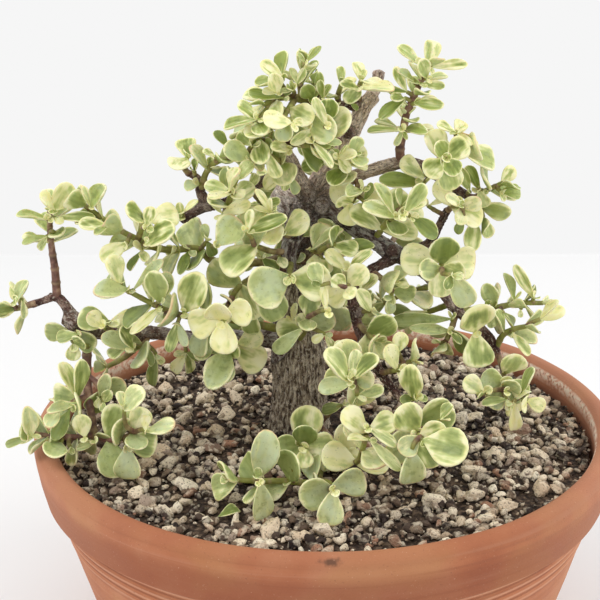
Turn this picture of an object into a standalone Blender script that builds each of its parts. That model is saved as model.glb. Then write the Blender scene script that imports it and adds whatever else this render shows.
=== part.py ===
"""A potted elephant bush: a small, bonsai-like succulent with variegated leaves in a terracotta bowl.

Frame: metres, +Z up. The origin is the middle of the bowl's underside and the front looks along -Y.
Branches and twigs are laid out along the sight lines of one viewpoint in front of the bush:
each point of a route is (across, down, depth), the first two in a 600 x 600 picture seen
from there and the depth in millimetres behind the bowl's axis.
"""
import math
import random

import bmesh
import bpy
from mathutils import Matrix, Vector, noise
from mathutils.bvhtree import BVHTree

MM = 0.001
GAP = 0.3 * MM                      # air between neighbouring pieces
FOOT = 0.6 * MM                     # radius of a twig's foot where it stands off the wood

# The bowl
RIM_RADIUS = 135 * MM
RIM_THICKNESS = 10 * MM
BOWL_HEIGHT = 122 * MM
COLLAR_HEIGHT = 27 * MM
COLLAR_FOOT_RADIUS = 131.5 * MM
NECK_RADIUS = 127.5 * MM            # body just under the collar
BASE_RADIUS = 101 * MM
WALL = 8.5 * MM
FLOOR = 10 * MM
RIDGES = 3                          # throwing ridges under the collar
RIDGE_PITCH = 4.6 * MM
RIDGE_DEPTH = 0.8 * MM
DRAIN_HOLES = 3
DRAIN_RADIUS = 6 * MM
DRAIN_CIRCLE = 48 * MM
TURN_STEPS = 32

# The soil
SOIL_LEVEL = 110 * MM
SOIL_MOUND = 3 * MM
SOIL_RELIEF = 1.3 * MM
SOIL_CLEAR = 2.4 * MM               # leaves keep this far above the mound
SOIL_RINGS = 4
STONE_PITCH = 29 * MM               # between the large stones in the soil's surface
STONE_STRAY = 0.26                  # how far they lie off an even grid, in pitches
STONE_RADIUS = (3.6 * MM, 5.4 * MM)
STONE_SIDES = 5
STONE_ROOT = 3 * MM                 # how deep they are sunk
STONE_CLEAR = 1.4                   # distance in their radii that they keep from wood and leaves

# The viewpoint that the routes are laid out from
EYE_DISTANCE = 0.593                # from the middle of the rim
EYE_RISE = math.radians(24.08)
LOOK_DOWN = math.radians(19.04)
LOOK_LEFT = math.radians(1.19)
HEAD_TILT = math.radians(0.41)
PICTURE = 600
FOCAL = 1250.7                      # in picture units

# A leaf, as shares of its length
LEAF_WIDTH = 0.86
LEAF_THICKNESS = 0.15
LEAF_EDGE = [(0.00, 0.00), (0.24, 0.36), (0.62, 1.00), (0.95, 0.68)]     # along, half across
LEAF_FAT = 0.42                     # where along the leaf it is thickest
LEAF_SUNK = 0.06                    # how much of it is sunk in the twig
LEAF_CUP = 0.10
LEAF_ARCH = 0.06
END_ON = 0.5                        # below this sine a twig counts as pointing at the viewpoint
OWN_CLEAR = 0.30                    # leaves of one spray may meet only this near their roots
LEAF_OPEN = 0.75                    # how strongly blades turn to the open side

# Turn and lean in degrees and size that a crowded leaf tries, in this order
WAYS_CLEAR = [(0, 0, 1), (14, 4, 1), (-14, -4, 1), (6, -16, 1), (-6, 16, 1), (28, 0, 0.94), (-28, 0, 0.94),
              (0, -30, 0.9), (20, -22, 0.88), (-20, 24, 0.88), (40, 8, 0.85), (-40, -8, 0.85),
              (0, 34, 0.8), (55, -14, 0.78), (-55, 14, 0.78), (12, -40, 0.72), (-12, 40, 0.72)]


def limb(*points):
    """A woody limb: (across, down, depth, radius in mm) from its root to its end."""
    return points


WOOD = {
    "trunk": limb((298, 446, 5, 17.5), (299, 426, 5, 16), (299, 404, 5, 13.4), (298, 372, 5, 12.4),
                  (297, 335, 6, 12), (298, 300, 7, 11.5), (300, 268, 8, 10.5), (304, 238, 8, 9.5),
                  (309, 212, 7, 8.5), (313, 198, 6, 6.5)),
    "old_top": limb((307, 228, 8, 7), (298, 212, 12, 7.2), (286, 199, 17, 6.6), (280, 193, 20, 5.6)),
    "leader": limb((311, 208, 6, 6), (322, 176, 6, 4.4), (338, 148, 6, 3.8), (352, 130, 6, 3.8),
                   (365, 106, 7, 3.8), (374, 95, 8, 3.4)),
    "snag": limb((370, 100, 8, 2.6), (377, 84, 12, 2.6), (379, 72, 14, 2.9)),
    "dark_limb": limb((312, 206, 5, 4.6), (303, 186, 1, 3.7), (292, 167, -2, 3.7), (284, 151, -4, 3)),
    "crown_limb": limb((363, 104, 7, 2.8), (348, 105, 4, 2.3), (330, 107, 0, 2.2), (315, 105, -4, 2.2)),
    "violet_limb": limb((306, 196, 3, 3.6), (290, 182, -1, 3), (274, 179, -4, 2.7), (257, 184, -6, 2.6),
                        (242, 194, -7, 2.5), (224, 203, -8, 2.4), (206, 205, -9, 2.8), (194, 212, -9, 2.4),
                        (181, 219, -9, 2.3)),
    "fork_twig": limb((206, 205, -9, 2.6), (201, 192, -8, 2.1), (199, 181, -7, 2.1), (193, 175, -6, 1.8),
                      (186, 172, -5, 1.6)),
    "right_limb": limb((312, 203, 5, 4.6), (330, 190, 3, 3.4), (351, 178, 2, 3.2), (376, 169, 1, 3),
                       (402, 163, 0, 2.8), (420, 165, 2, 2.5), (437, 176, 4, 2.3), (454, 188, 5, 2.3),
                       (468, 196, 4, 2.2)),
    "great_limb": limb((311, 208, 4, 6.5), (332, 210, 0, 4.2), (357, 229, -6, 3.9), (383, 246, -10, 3.8),
                       (400, 256, -12, 3.6), (417, 266, -14, 3.1), (438, 287, -16, 2.5), (457, 310, -15, 2.7),
                       (472, 322, -14, 2.4), (488, 337, -13, 2.2), (497, 353, -14, 2)),
    "rising_twig": limb((398, 256, -12, 2.8), (413, 251, -11, 2.3), (430, 242, -9, 2.3), (440, 224, -7, 1.9),
                        (448, 209, -6, 1.8)),
    "hanging_limb": limb((397, 257, -12, 2.8), (384, 263, -15, 2.2), (370, 270, -18, 2.2), (358, 279, -20, 2.2),
                         (353, 295, -22, 2.3), (356, 319, -24, 2.4), (362, 337, -26, 2.4), (367, 352, -29, 2.2),
                         (380, 372, -36, 2.2), (393, 389, -43, 1.9), (405, 403, -50, 1.7)),
    "front_limb": limb((308, 218, 0, 5.4), (296, 234, -6, 3.6), (289, 250, -10, 3.4), (290, 264, -11, 2.8),
                       (293, 280, -10, 2.2)),
    "low_limb": limb((288, 338, 6, 6), (258, 338, 2, 4), (225, 338, 0, 3.5), (190, 338, -1, 3.4),
                     (158, 333, -4, 3.1), (128, 332, -8, 3), (104, 333, -10, 3.1), (88, 329, -11, 4),
                     (74, 321, -12, 4.4), (68, 309, -12, 2.6), (57, 297, -11, 2.4), (45, 300, -11, 1.9),
                     (31, 305, -12, 1.8)),
}


def stem(*route, pairs=2, first=0.45, size=13, taper=0.3, roll=0, lean=58, thick=1.5, tip=1.05, young=0.2,
         width=LEAF_WIDTH, sky=0.0):
    """A leafy twig: its route, the pairs of leaves up it and how the lowest pair stands.

    first is the share of the twig below the lowest pair, size the leaf length in mm, taper how
    much smaller the top pair is, roll the turn of the lowest pair out of the picture's plane and
    lean its angle off the twig, both in degrees, thick and tip the twig's radius in mm, young from
    0 to 1 how pale the leaves are, width their share of their length, and sky from 0 to 1 how far
    their faces turn up.
    """
    return {"route": route, "pairs": pairs, "first": first, "size": size, "taper": taper, "roll": roll,
            "lean": lean, "thick": thick, "tip": tip, "young": young, "width": width, "sky": sky}


# Each spray is one or more twigs; the later ones grow out of the earlier ones
SPRAYS = {
    # crown, on the limb that runs to the left from the leader
    "crown_left": [
        stem((318, 106, -3), (300, 99, -8), (287, 97, -11), (275, 99, -15), (263, 105, -19), pairs=2,
             first=0.78, size=16, roll=70, lean=50, thick=2, width=0.6, sky=0.6),
        stem((301, 99, -8), (301, 80, -11), (306, 62, -14), pairs=3, first=0.4, size=13, roll=20, lean=40,
             width=0.5, sky=0.3),
        stem((288, 97, -11), (279, 80, -17), pairs=1, first=0.9, size=14, roll=5, lean=52, width=0.55, sky=0.3),
        stem((296, 98, -9), (283, 117, -25), pairs=2, first=0.6, size=15, roll=40, lean=66, width=0.75, sky=0.3),
        stem((276, 99, -15), (257, 122, -23), pairs=1, first=0.9, size=17, roll=60, lean=62, width=0.6, sky=0.6)],
    "crown_mid": [
        stem((327, 107, 0), (319, 95, -5), (313, 84, -8), pairs=2, size=11.5, roll=60, lean=50, width=0.5, sky=0.3),
        stem((321, 98, -4), (309, 121, -21), pairs=1, first=0.95, size=14, roll=10)],
    "comb_right": [stem((339, 107, 2), (338, 96, 0), (341, 85, -2), pairs=2, size=11.5, roll=20, width=0.5,
                        sky=0.3)],
    "young_top": [stem((361, 106, 7), (358, 93, 3), (361, 81, 0), pairs=2, first=0.72, size=14, roll=10,
                       lean=76, young=1, width=0.6, sky=0.3)],
    "vee": [stem((343, 144, 5), (333, 138, -4), (325, 131, -12), (327, 121, -18), pairs=2, first=0.62, size=17,
                 roll=10, lean=60)],
    "knuckle": [
        stem((284, 152, -4), (283, 140, -9), (282, 127, -14), pairs=2, size=14, roll=10, lean=66, thick=1.9),
        stem((283, 146, -7), (257, 138, -19), pairs=1, first=0.9, size=16, roll=40, lean=58, width=0.65, sky=0.4),
        stem((284, 143, -8), (313, 146, -18), pairs=2, first=0.55, size=14.5, roll=50, lean=58)],
    "inner_top": [stem((291, 167, -3), (279, 161, -11), (269, 155, -17), pairs=2, size=14.5, roll=60, lean=62)],
    "shelf": [stem((349, 178, 2), (341, 167, -6), (345, 158, -12), (354, 153, -17), pairs=3, first=0.3, size=13,
                   roll=75)],
    # the upright shoot on the right limb
    "mast": [stem((401, 163, 0), (400, 149, -1), (403, 133, -2), (406, 116, -3), (411, 103, -4), (417, 90, -5),
                  (423, 77, -6), (429, 65, -7), pairs=6, first=0.30, size=13.5, taper=0.1, roll=10, lean=66,
                  thick=2.2, width=0.6, sky=0.5)],
    # the cluster at the right, seen end on, and what hangs round it
    "right_cluster": [
        stem((428, 170, 3), (436, 163, -6), (443, 160, -18), (446, 158, -30), pairs=3, first=0.62, size=14,
             roll=120, lean=78, young=0.4),
        stem((435, 164, -5), (449, 149, -8), (457, 136, -10), pairs=2, first=0.7, size=12, roll=20, young=1),
        stem((436, 163, -6), (468, 153, -13), pairs=1, first=0.95, size=15.5, roll=60, lean=56)],
    "right_twig": [
        stem((465, 195, 4), (475, 197, 3), (485, 191, 1), (503, 183, -4), pairs=2, first=0.6, size=15.5,
             roll=60, lean=50),
        stem((475, 197, 3), (480, 207, 0), (483, 217, -3), pairs=2, size=15.5, roll=10, lean=40,
             width=0.66)],
    "pale_right": [stem((447, 211, -6), (455, 205, -12), (462, 208, -17), pairs=2, size=14, roll=10, lean=64,
                        young=0.8)],
    "mid_fan": [stem((375, 239, -9), (383, 227, -14), (392, 217, -18), (402, 206, -22), pairs=3, first=0.34,
                     size=17, roll=15, lean=62, width=0.75)],
    "pale_hang": [stem((356, 177, 1), (358, 190, -5), (352, 202, -11), pairs=2, first=0.55, size=15, roll=15,
                       lean=62, young=0.9)],
    # round the great limb
    "curled": [stem((430, 242, -9), (437, 254, -16), (441, 263, -24), (442, 269, -32), pairs=3, first=0.55,
                    size=17.5, roll=135, lean=80, thick=1.3, young=0.5)],
    "big_round": [stem((471, 321, -14), (474, 327, -20), (475, 331, -24), pairs=1, first=0.98, size=18.5,
                       roll=85, lean=50)],
    "right_end": [stem((459, 311, -15), (483, 310, -13), (500, 307, -11), (519, 303, -9),
                       (543, 303, -8), pairs=4, first=0.36, size=14, roll=5, lean=60, thick=1.9,
                       width=0.55, sky=0.2)],
    "right_end_low": [stem((496, 348, -13), (503, 335, -17), (514, 329, -20), (527, 326, -22), pairs=2,
                           first=0.5, size=15.5, roll=15, lean=52, width=0.55)],
    "right_rosette": [
        stem((497, 352, -14), (502, 366, -20), (504, 379, -29), (504, 389, -38), pairs=3, first=0.5, size=15,
             roll=40, lean=68),
        stem((504, 378, -28), (517, 392, -36), (527, 400, -42), pairs=2, size=14, roll=30, lean=60, young=0.9)],
    "mid_hang": [stem((457, 311, -15), (451, 330, -16), (446, 341, -17), pairs=2, first=0.6, size=14.5, roll=10,
                      lean=62)],
    "long_leaves": [stem((450, 304, -15), (431, 311, -6), (413, 316, 2), pairs=2, first=0.55, size=18, roll=70,
                         lean=42, width=0.5)],
    "back_green": [stem((436, 285, -15), (420, 289, -2), (402, 295, 8), (384, 303, 14), pairs=2, first=0.55,
                        size=16, roll=30, lean=52, width=0.66)],
    "under_limb": [stem((371, 270, -18), (383, 280, -20), (392, 290, -22), pairs=2, size=15, roll=75, lean=62)],
    # the middle, in front of the trunk
    "centre_pale": [stem((356, 283, -21), (349, 285, -28), (346, 287, -36), pairs=2, first=0.6, size=12.5,
                         roll=40, lean=72, young=1)],
    "centre_pair": [stem((301, 262, 0), (312, 256, -10), (323, 249, -17), (335, 244, -22), pairs=2,
                         first=0.55, size=15.5, roll=70)],
    "cream_front": [stem((357, 322, -24), (366, 332, -31), (374, 341, -37), pairs=2, first=0.6, size=15.5,
                         roll=20, lean=64, young=0.6)],
    "star": [
        stem((381, 373, -37), (391, 371, -42), (399, 370, -46), pairs=1, first=0.9, size=12.5, roll=30, lean=66,
             young=1, width=0.7),
        stem((391, 371, -42), (411, 361, -39), pairs=1, first=0.95, size=15.5, roll=70, lean=70,
             width=0.7)],
    "trefoil": [stem((366, 352, -29), (358, 364, -38), (352, 376, -50), pairs=2, first=0.78, size=15.5,
                     taper=0.15, roll=130, lean=80, young=0.6)],
    "trunk_front": [stem((300, 338, -6), (306, 328, -18), (308, 317, -26), pairs=2, first=0.6, size=16, roll=5,
                         lean=70, young=0.5)],
    "big_centre": [stem((291, 262, -11), (290, 269, -20), (290, 277, -28), pairs=1, first=0.95, size=20, roll=0,
                        lean=48)],
    "left_big": [stem((289, 252, -10), (270, 251, -16), (254, 245, -24), pairs=1, first=0.96, size=18.5, roll=0,
                      lean=60)],
    "cream_leaf": [stem((294, 237, -6), (281, 233, -16), (271, 227, -24), pairs=2, size=16.5, roll=20, lean=66,
                        young=0.6)],
    "left_group": [
        stem((288, 268, -10), (256, 276, -14), (238, 288, -20), (229, 303, -29), pairs=2, first=0.66, size=17,
             roll=20, lean=66),
        stem((232, 298, -26), (225, 313, -36), (223, 321, -44), pairs=2, first=0.6, size=16.5, taper=0.1,
             roll=35, lean=78, young=1)],
    "left_low": [stem((239, 338, 0), (233, 349, -10), (229, 358, -20), pairs=2, size=18, roll=15, lean=76)],
    # upper left
    "left_fan": [stem((222, 204, -8), (228, 207, -15), (231, 192, -21), (237, 178, -25), pairs=3, first=0.35,
                      size=15, roll=35, lean=52, young=0.5, width=0.66)],
    "upper_left": [stem((201, 190, -8), (206, 173, -11), (216, 162, -13), (234, 158, -15), (250, 155, -16),
                        pairs=4, first=0.36, size=15.5, roll=5, lean=64, width=0.7, sky=0.25)],
    "stub_leaves": [stem((189, 174, -6), (184, 167, -10), (187, 158, -13), pairs=1, first=0.98, size=13.5,
                         roll=20, lean=72)],
    # the long arm to the left
    "long_arm": [
        stem((289, 256, -10), (262, 262, -8), (217, 262, -8), (197, 249, -12), (170, 250, -16), (150, 246, -19),
             (137, 239, -21), (115, 227, -22), (80, 202, -22), pairs=7, first=0.42, size=16.5,
             roll=40, lean=60, thick=2.1),
        stem((138, 240, -21), (141, 230, -27), (146, 220, -31), pairs=1, first=0.98, size=15, roll=10)],
    "green_twig": [stem((284, 330, -2), (245, 322, -12), (213, 318, -20), (185, 316, -25), (159, 307, -28),
                        (121, 287, -31), pairs=4, first=0.5, size=19, taper=0.12, roll=5, lean=72, thick=1.9)],
    # far left
    "far_up": [stem((57, 296, -11), (55, 270, -12), (52, 250, -13), (50, 230, -14), (50, 208, -16), pairs=4,
                    first=0.6, size=15, roll=10, lean=68, thick=2, width=0.66, sky=0.3)],
    "far_end": [stem((36, 303, -12), (18, 308, -13), (3, 310, -14), pairs=3, first=0.25, size=14, roll=10,
                     lean=54, thick=1.7, width=0.6)],
    "knob_leaves": [stem((76, 323, -12), (71, 335, -17), (74, 343, -22), pairs=2, size=13, roll=10, lean=68)],
    "arm_top": [stem((112, 333, -9), (109, 327, -15), (109, 322, -20), pairs=1, first=0.9, size=15, roll=0,
                     lean=76, young=0.5)],
    "arm_green": [stem((150, 332, -5), (142, 346, -11), (127, 345, -17), pairs=2, first=0.5, size=15.5, roll=20,
                       lean=56)],
    "back_drop": [stem((143, 333, -6), (133, 350, 2), (118, 361, 4), (106, 367, 5), pairs=1, first=0.97,
                       size=12, roll=40, thick=1.9)],
    # the twig that hangs at the left, down to the soil
    "drop": [
        stem((88, 331, -11), (87, 352, -16), (87, 376, -22), (89, 400, -29), (95, 438, -38), pairs=1,
             first=0.99, size=12, roll=60, thick=2.3, tip=1.7),
        stem((88, 396, -28), (77, 400, -31), (69, 404, -34), pairs=2, first=0.5, size=16, roll=70, lean=60),
        stem((94, 435, -37), (75, 437, -41), (54, 436, -43), (34, 434, -44), pairs=4, first=0.3, size=14.5,
             roll=10, lean=58),
        stem((94, 436, -37), (109, 440, -43), (123, 438, -48), (134, 432, -52), pairs=3, first=0.36, size=18,
             roll=0, lean=66),
        stem((87, 376, -22), (96, 382, -25), (101, 391, -28), pairs=1, first=0.99, size=13, roll=30)],
    # low in front of the trunk
    "front_rosette": [stem((302, 424, -6), (303, 438, -26), (304, 446, -42), (304, 447, -55), pairs=3,
                           first=0.6, size=18, taper=0.35, roll=90, lean=78)],
    "low_runner": [
        stem((306, 418, -6), (319, 455, -38), (316, 481, -62), (283, 481, -70), (256, 481, -73),
             (230, 479, -75), pairs=4, first=0.61, size=18, taper=0.2, roll=90, lean=68, thick=1.8),
        stem((317, 481, -62), (329, 483, -69), (331, 487, -73), pairs=1, first=0.97, size=17.5, roll=90,
             lean=68)],
    "cream_upright": [stem((318, 424, -4), (338, 446, -34), (355, 462, -54), (362, 451, -60), (368, 427, -64),
                           pairs=4, first=0.56, size=17, taper=0.15, roll=90, lean=78, young=0.8)],
    "right_low_rosette": [stem((404, 402, -49), (411, 416, -56), (417, 429, -65), (420, 437, -77), pairs=3,
                               first=0.5, size=19.5, taper=0.35, roll=10, lean=78)],
    # behind the trunk
    "back_high": [stem((339, 148, 7), (329, 149, 26), (314, 143, 44), pairs=2, size=16, roll=20)],
    "back_right": [stem((388, 249, -9), (396, 236, 12), (408, 222, 36), pairs=2, size=17, roll=40)],
    "back_centre": [stem((306, 222, 10), (320, 230, 34), (338, 242, 58), pairs=3, size=17, roll=20)],
    "back_left": [stem((303, 240, 12), (280, 238, 34), (250, 229, 58), pairs=3, size=17, roll=60)],
    "back_low_left": [stem((298, 302, 12), (274, 310, 36), (244, 308, 64), pairs=2, size=18, roll=20)],
    "back_low_right": [stem((299, 298, 12), (326, 304, 38), (362, 302, 68), pairs=3, size=17, roll=50)],
}
FALLEN_LEAF = (219, 526, -84)       # where a dropped leaf lies, in the picture
FALLEN_LIFT = 1.9 * MM              # its root's height over the soil


def sight_frame():
    """The viewpoint and its forward, right and up directions."""
    eye = Vector((0, -EYE_DISTANCE * math.cos(EYE_RISE), BOWL_HEIGHT + EYE_DISTANCE * math.sin(EYE_RISE)))
    forward = Vector((-math.sin(LOOK_LEFT) * math.cos(LOOK_DOWN), math.cos(LOOK_LEFT) * math.cos(LOOK_DOWN),
                      -math.sin(LOOK_DOWN)))
    level = forward.cross(Vector((0, 0, 1))).normalized()
    upright = level.cross(forward)
    right = math.cos(-HEAD_TILT) * level + math.sin(-HEAD_TILT) * upright
    return eye, forward, right, right.cross(forward)


EYE, FORWARD, RIGHT, UP = sight_frame()


def seen_at(across, down, depth):
    """The point at a depth behind the bowl's axis that shows at a place in the picture."""
    ray = FORWARD + RIGHT * ((across - PICTURE / 2) / FOCAL) + UP * ((PICTURE / 2 - down) / FOCAL)
    return EYE + ray * ((depth * MM - EYE.y) / ray.y)


def smooth_path(points, per_span):
    """Points along a smooth curve through the given vectors."""
    ends = [2 * points[0] - points[1]] + list(points) + [2 * points[-1] - points[-2]]
    path = []
    for before, start, end, after in zip(ends, ends[1:], ends[2:], ends[3:]):
        for step in range(per_span):
            t = step / per_span
            path.append(0.5 * (2 * start + (end - before) * t
                               + (2 * before - 5 * start + 4 * end - after) * t ** 2
                               + (3 * start - before - 3 * end + after) * t ** 3))
    return path + [points[-1].copy()]


def wood_path(points):
    """A limb's smooth route with its radius in the fourth coordinate."""
    return smooth_path([Vector((*seen_at(across, down, depth), radius * MM))
                        for across, down, depth, radius in points], 1)


def stem_path(twig):
    """A twig's smooth route with its radius in the fourth coordinate."""
    path = smooth_path([seen_at(*point) for point in twig["route"]], 1)
    last = len(path) - 1
    radii = [(twig["thick"] + (twig["tip"] - twig["thick"]) * step / last) * MM for step in range(last + 1)]
    return [Vector((*point, radius)) for point, radius in zip(path, radii)]


def along_path(path, share):
    """The place and the direction at a share of a route's length."""
    spans = [(end - start).to_3d().length for start, end in zip(path, path[1:])]
    left = share * sum(spans)
    for start, end, span in zip(path, path[1:], spans):
        if left <= span or end is path[-1]:
            break
        left -= span
    ahead = (end - start).to_3d()
    return start.to_3d() + ahead * min(left / span, 1), ahead.normalized()


LEAF_RING = LEAF_EDGE + [(along, -across) for along, across in reversed(LEAF_EDGE[1:])]


def leaf_point(leaf, along, across, height):
    """A leaf's point in space from shares of its length, half width and thickness."""
    side = leaf["face"].cross(leaf["line"])
    lift = (LEAF_CUP * across ** 2 - LEAF_ARCH * along ** 2) * leaf["length"]
    return (leaf["root"] + leaf["line"] * (along - LEAF_SUNK) * leaf["length"]
            + side * across * leaf["width"] / 2 * leaf["length"]
            + leaf["face"] * (lift + height * LEAF_THICKNESS / 2 * leaf["length"]))


def tube_ghost(path, swell):
    """A tube's test surface: as wide as the tube and a margin more."""
    corners = []
    for number, point in enumerate(path):
        ahead = (path[min(number + 1, len(path) - 1)] - path[max(number - 1, 0)]).to_3d().normalized()
        side = ahead.orthogonal().normalized()
        lift = ahead.cross(side)
        for turn in (math.pi * corner / 3 for corner in range(6)):
            out = side * math.cos(turn) + lift * math.sin(turn)
            corners.append(point.to_3d() + out * (point.w * 1.1 + swell))
    walls = [(ring + corner, ring + (corner + 1) % 6, ring + 6 + (corner + 1) % 6, ring + 6 + corner)
             for ring in range(0, len(corners) - 6, 6) for corner in range(6)]
    ends = [tuple(range(6)), tuple(range(len(corners) - 6, len(corners)))]
    return BVHTree.FromPolygons(corners, walls + ends)


def leaf_ghost(leaf, start):
    """A leaf's test surface, a little larger than the leaf, from a share of its length to its tip."""
    sides = len(LEAF_RING)
    rim = [leaf_point(leaf, max(along * 1.04, start), across * 1.1, 0) for along, across in LEAF_RING]
    poles = [leaf_point(leaf, LEAF_FAT, 0, height) for height in (-1.6, 1.6)]
    skin = [(step, (step + 1) % sides, sides + pole) for step in range(sides) for pole in (0, 1)]
    return BVHTree.FromPolygons(rim + poles, skin)


def mound_height(out):
    """Height of the soil without its lumps, a little higher round the trunk, at a distance from the axis."""
    return SOIL_LEVEL + SOIL_MOUND * max(0, 1 - (out / (RIM_RADIUS - RIM_THICKNESS)) ** 2) ** 2


def in_bowl(point):
    """Whether a point is in the soil or in the bowl's wall."""
    out = math.hypot(point.x, point.y)
    if out < RIM_RADIUS - RIM_THICKNESS - 1.5 * MM:
        return point.z < mound_height(out) + SOIL_CLEAR
    return out < RIM_RADIUS + 1.5 * MM and point.z < BOWL_HEIGHT + 1.5 * MM


def open_side(point):
    """The direction that a blade at a point turns its upper face to: outwards, front or back, and up."""
    return Vector((0.35 * point.x, point.y - 0.01, 0.03)).normalized()


def leaf_at(spot, ahead, side, twig, turn, lean, size):
    """One leaf at a spot on a twig, from its turn round the twig and its lean off it."""
    out = (Matrix.Rotation(turn, 3, ahead) @ side).normalized()
    line = ahead * math.cos(lean) + out * math.sin(lean)
    face = (ahead * math.sin(lean) - out * math.cos(lean) + open_side(spot) * LEAF_OPEN).normalized()
    face = face * (1 - twig["sky"]) + Vector((0, 0, twig["sky"]))
    face = (face - line * face.dot(line)).normalized()
    return {"root": spot, "line": line, "face": face, "length": size * MM, "young": twig["young"],
            "width": twig["width"], "sky": twig["sky"]}


def is_clear(leaf, walls, others, own):
    """Whether a leaf misses the bowl, all wood and other sprays' twigs and all leaves grown so far."""
    reach = leaf["length"]
    middle = leaf["root"] + leaf["line"] * reach / 2
    if any(in_bowl(leaf_point(leaf, along, across, 0)) for along, across in LEAF_RING):
        return False
    skin = leaf_ghost(leaf, 0.14)
    if any(wall.find_nearest(middle, reach)[0] and wall.overlap(skin) for wall in walls):
        return False
    outer = leaf_ghost(leaf, OWN_CLEAR)
    for other in others:
        if (other["middle"] - middle).length < reach + other["length"]:
            mine = other["spray"] == own
            if other["outer" if mine else "skin"].overlap(outer if mine else skin):
                return False
    leaf.update(middle=middle, skin=skin, outer=outer, spray=own)
    return True


def grow_leaves(wood, twigs):
    """Opposite leaves up every twig, each pair a quarter turn on from the one below it."""
    leaves = []
    for name, spray in SPRAYS.items():
        draw = random.Random(name)
        walls = wood + [ghost for other, ghosts in twigs.items() if other != name for ghost in ghosts]
        for twig in spray:
            path = stem_path(twig)
            start, ahead = along_path(path, 0)
            side = ahead.cross((start - EYE).normalized())
            side = side if side.length > END_ON else RIGHT
            for pair in range(twig["pairs"]):
                rise = pair / max(twig["pairs"] - 1, 1)
                spot, ahead = along_path(path, twig["first"] + (0.97 - twig["first"]) * rise)
                side = (side - ahead * side.dot(ahead)).normalized()
                turn = math.radians(twig["roll"] + 90 * pair + draw.uniform(-12, 12))
                lean = twig["lean"] * (1.08 - 0.38 * rise)
                for half_turn in (0, math.pi):
                    size = twig["size"] * (1 - twig["taper"] * rise) * draw.uniform(0.9, 1.12)
                    lean_now = lean + draw.uniform(-9, 9)
                    for more_turn, more_lean, shrink in WAYS_CLEAR:
                        leaf = leaf_at(spot, ahead, side, twig, turn + half_turn + math.radians(more_turn),
                                       math.radians(lean_now + more_lean), size * shrink)
                        if is_clear(leaf, walls, leaves, name):
                            leaves.append(leaf)
                            break
    return leaves


def new_material(name, colour, roughness):
    """A plain Principled material."""
    material = bpy.data.materials.new(name)
    material.use_nodes = True
    shader = material.node_tree.nodes["Principled BSDF"]
    shader.inputs["Base Color"].default_value = (*colour, 1)
    shader.inputs["Roughness"].default_value = roughness
    return material


def add_object(name, mesh, collection, material=None):
    """A named object for a mesh."""
    item = bpy.data.objects.new(name, mesh)
    collection.objects.link(item)
    if material:
        mesh.materials.clear()
        mesh.materials.append(material)
    return item


def face_outwards(work):
    """Turn a closed mesh's faces outwards."""
    bmesh.ops.recalc_face_normals(work, faces=work.faces)
    if work.calc_volume(signed=True) < 0:
        bmesh.ops.reverse_faces(work, faces=work.faces)


def as_mesh(item):
    """Replace an object by a plain mesh object of its evaluated shape, its loose caps welded."""
    mesh = bpy.data.meshes.new_from_object(item.evaluated_get(bpy.context.evaluated_depsgraph_get()))
    work = bmesh.new()
    work.from_mesh(mesh)
    bmesh.ops.remove_doubles(work, verts=work.verts, dist=0.000001)
    face_outwards(work)
    work.to_mesh(mesh)
    work.free()
    name, collection, place = item.name, item.users_collection[0], item.matrix_world.copy()
    bpy.data.objects.remove(item)
    fresh = add_object(name, mesh, collection)
    fresh.matrix_world = place
    return fresh


def add_tube(name, path, collection, resolution):
    """A tube along a route of (x, y, z, radius) vectors, as a mesh."""
    curve = bpy.data.curves.new(name, "CURVE")
    curve.dimensions = "3D"
    curve.bevel_depth = 1
    curve.bevel_resolution = resolution
    curve.use_fill_caps = True
    line = curve.splines.new("POLY")
    line.points.add(len(path) - 1)
    for place, point in zip(line.points, path):
        place.co = (*point.to_3d(), 1)
        place.radius = point.w
    tube = bpy.data.objects.new(name, curve)
    collection.objects.link(tube)
    bpy.context.view_layer.update()
    return as_mesh(tube)


def join_all(body, pieces):
    """Fuse pieces into a body with one Boolean union on their collection."""
    helpers = bpy.data.collections.new("pieces")
    bpy.context.scene.collection.children.link(helpers)
    for piece in pieces:
        for home in piece.users_collection:
            home.objects.unlink(piece)
        helpers.objects.link(piece)
    union = body.modifiers.new("union", "BOOLEAN")
    union.operation = "UNION"
    union.operand_type = "COLLECTION"
    union.collection = helpers
    union.solver = "EXACT"
    union.use_self = False
    bpy.context.view_layer.update()
    fused = as_mesh(body)
    for piece in list(helpers.objects):
        bpy.data.objects.remove(piece)
    bpy.data.collections.remove(helpers)
    return fused


def cut(body, cutters):
    """Cut holes with the cutters' collection and apply the cuts."""
    for cutter in cutters:
        hole = body.modifiers.new("hole", "BOOLEAN")
        hole.operation = "DIFFERENCE"
        hole.object = cutter
        cutter.hide_render = True
        cutter.display_type = "WIRE"
    bpy.context.view_layer.update()
    return as_mesh(body)


def turned(name, profile, collection):
    """A turned solid from a closed or axis-to-axis profile of (radius, height) points."""
    mesh = bpy.data.meshes.new(name)
    corners = [(radius, 0, height) for radius, height in profile]
    mesh.from_pydata(corners, [(step, step + 1) for step in range(len(corners) - 1)], [])
    item = add_object(name, mesh, collection)
    screw = item.modifiers.new("turn", "SCREW")
    screw.steps = TURN_STEPS
    screw.render_steps = TURN_STEPS
    screw.use_merge_vertices = True
    screw.merge_threshold = 0.00001
    bpy.context.view_layer.update()
    return as_mesh(item)


def body_radius(height):
    """Outer radius of the bowl's tapering body at a height."""
    return BASE_RADIUS + (NECK_RADIUS - BASE_RADIUS) * height / (BOWL_HEIGHT - COLLAR_HEIGHT)


def inner_radius(height):
    """Inner radius of the bowl at a height: down the collar, then along the tapering wall."""
    return min(RIM_RADIUS - RIM_THICKNESS, body_radius(height) - WALL)


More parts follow.
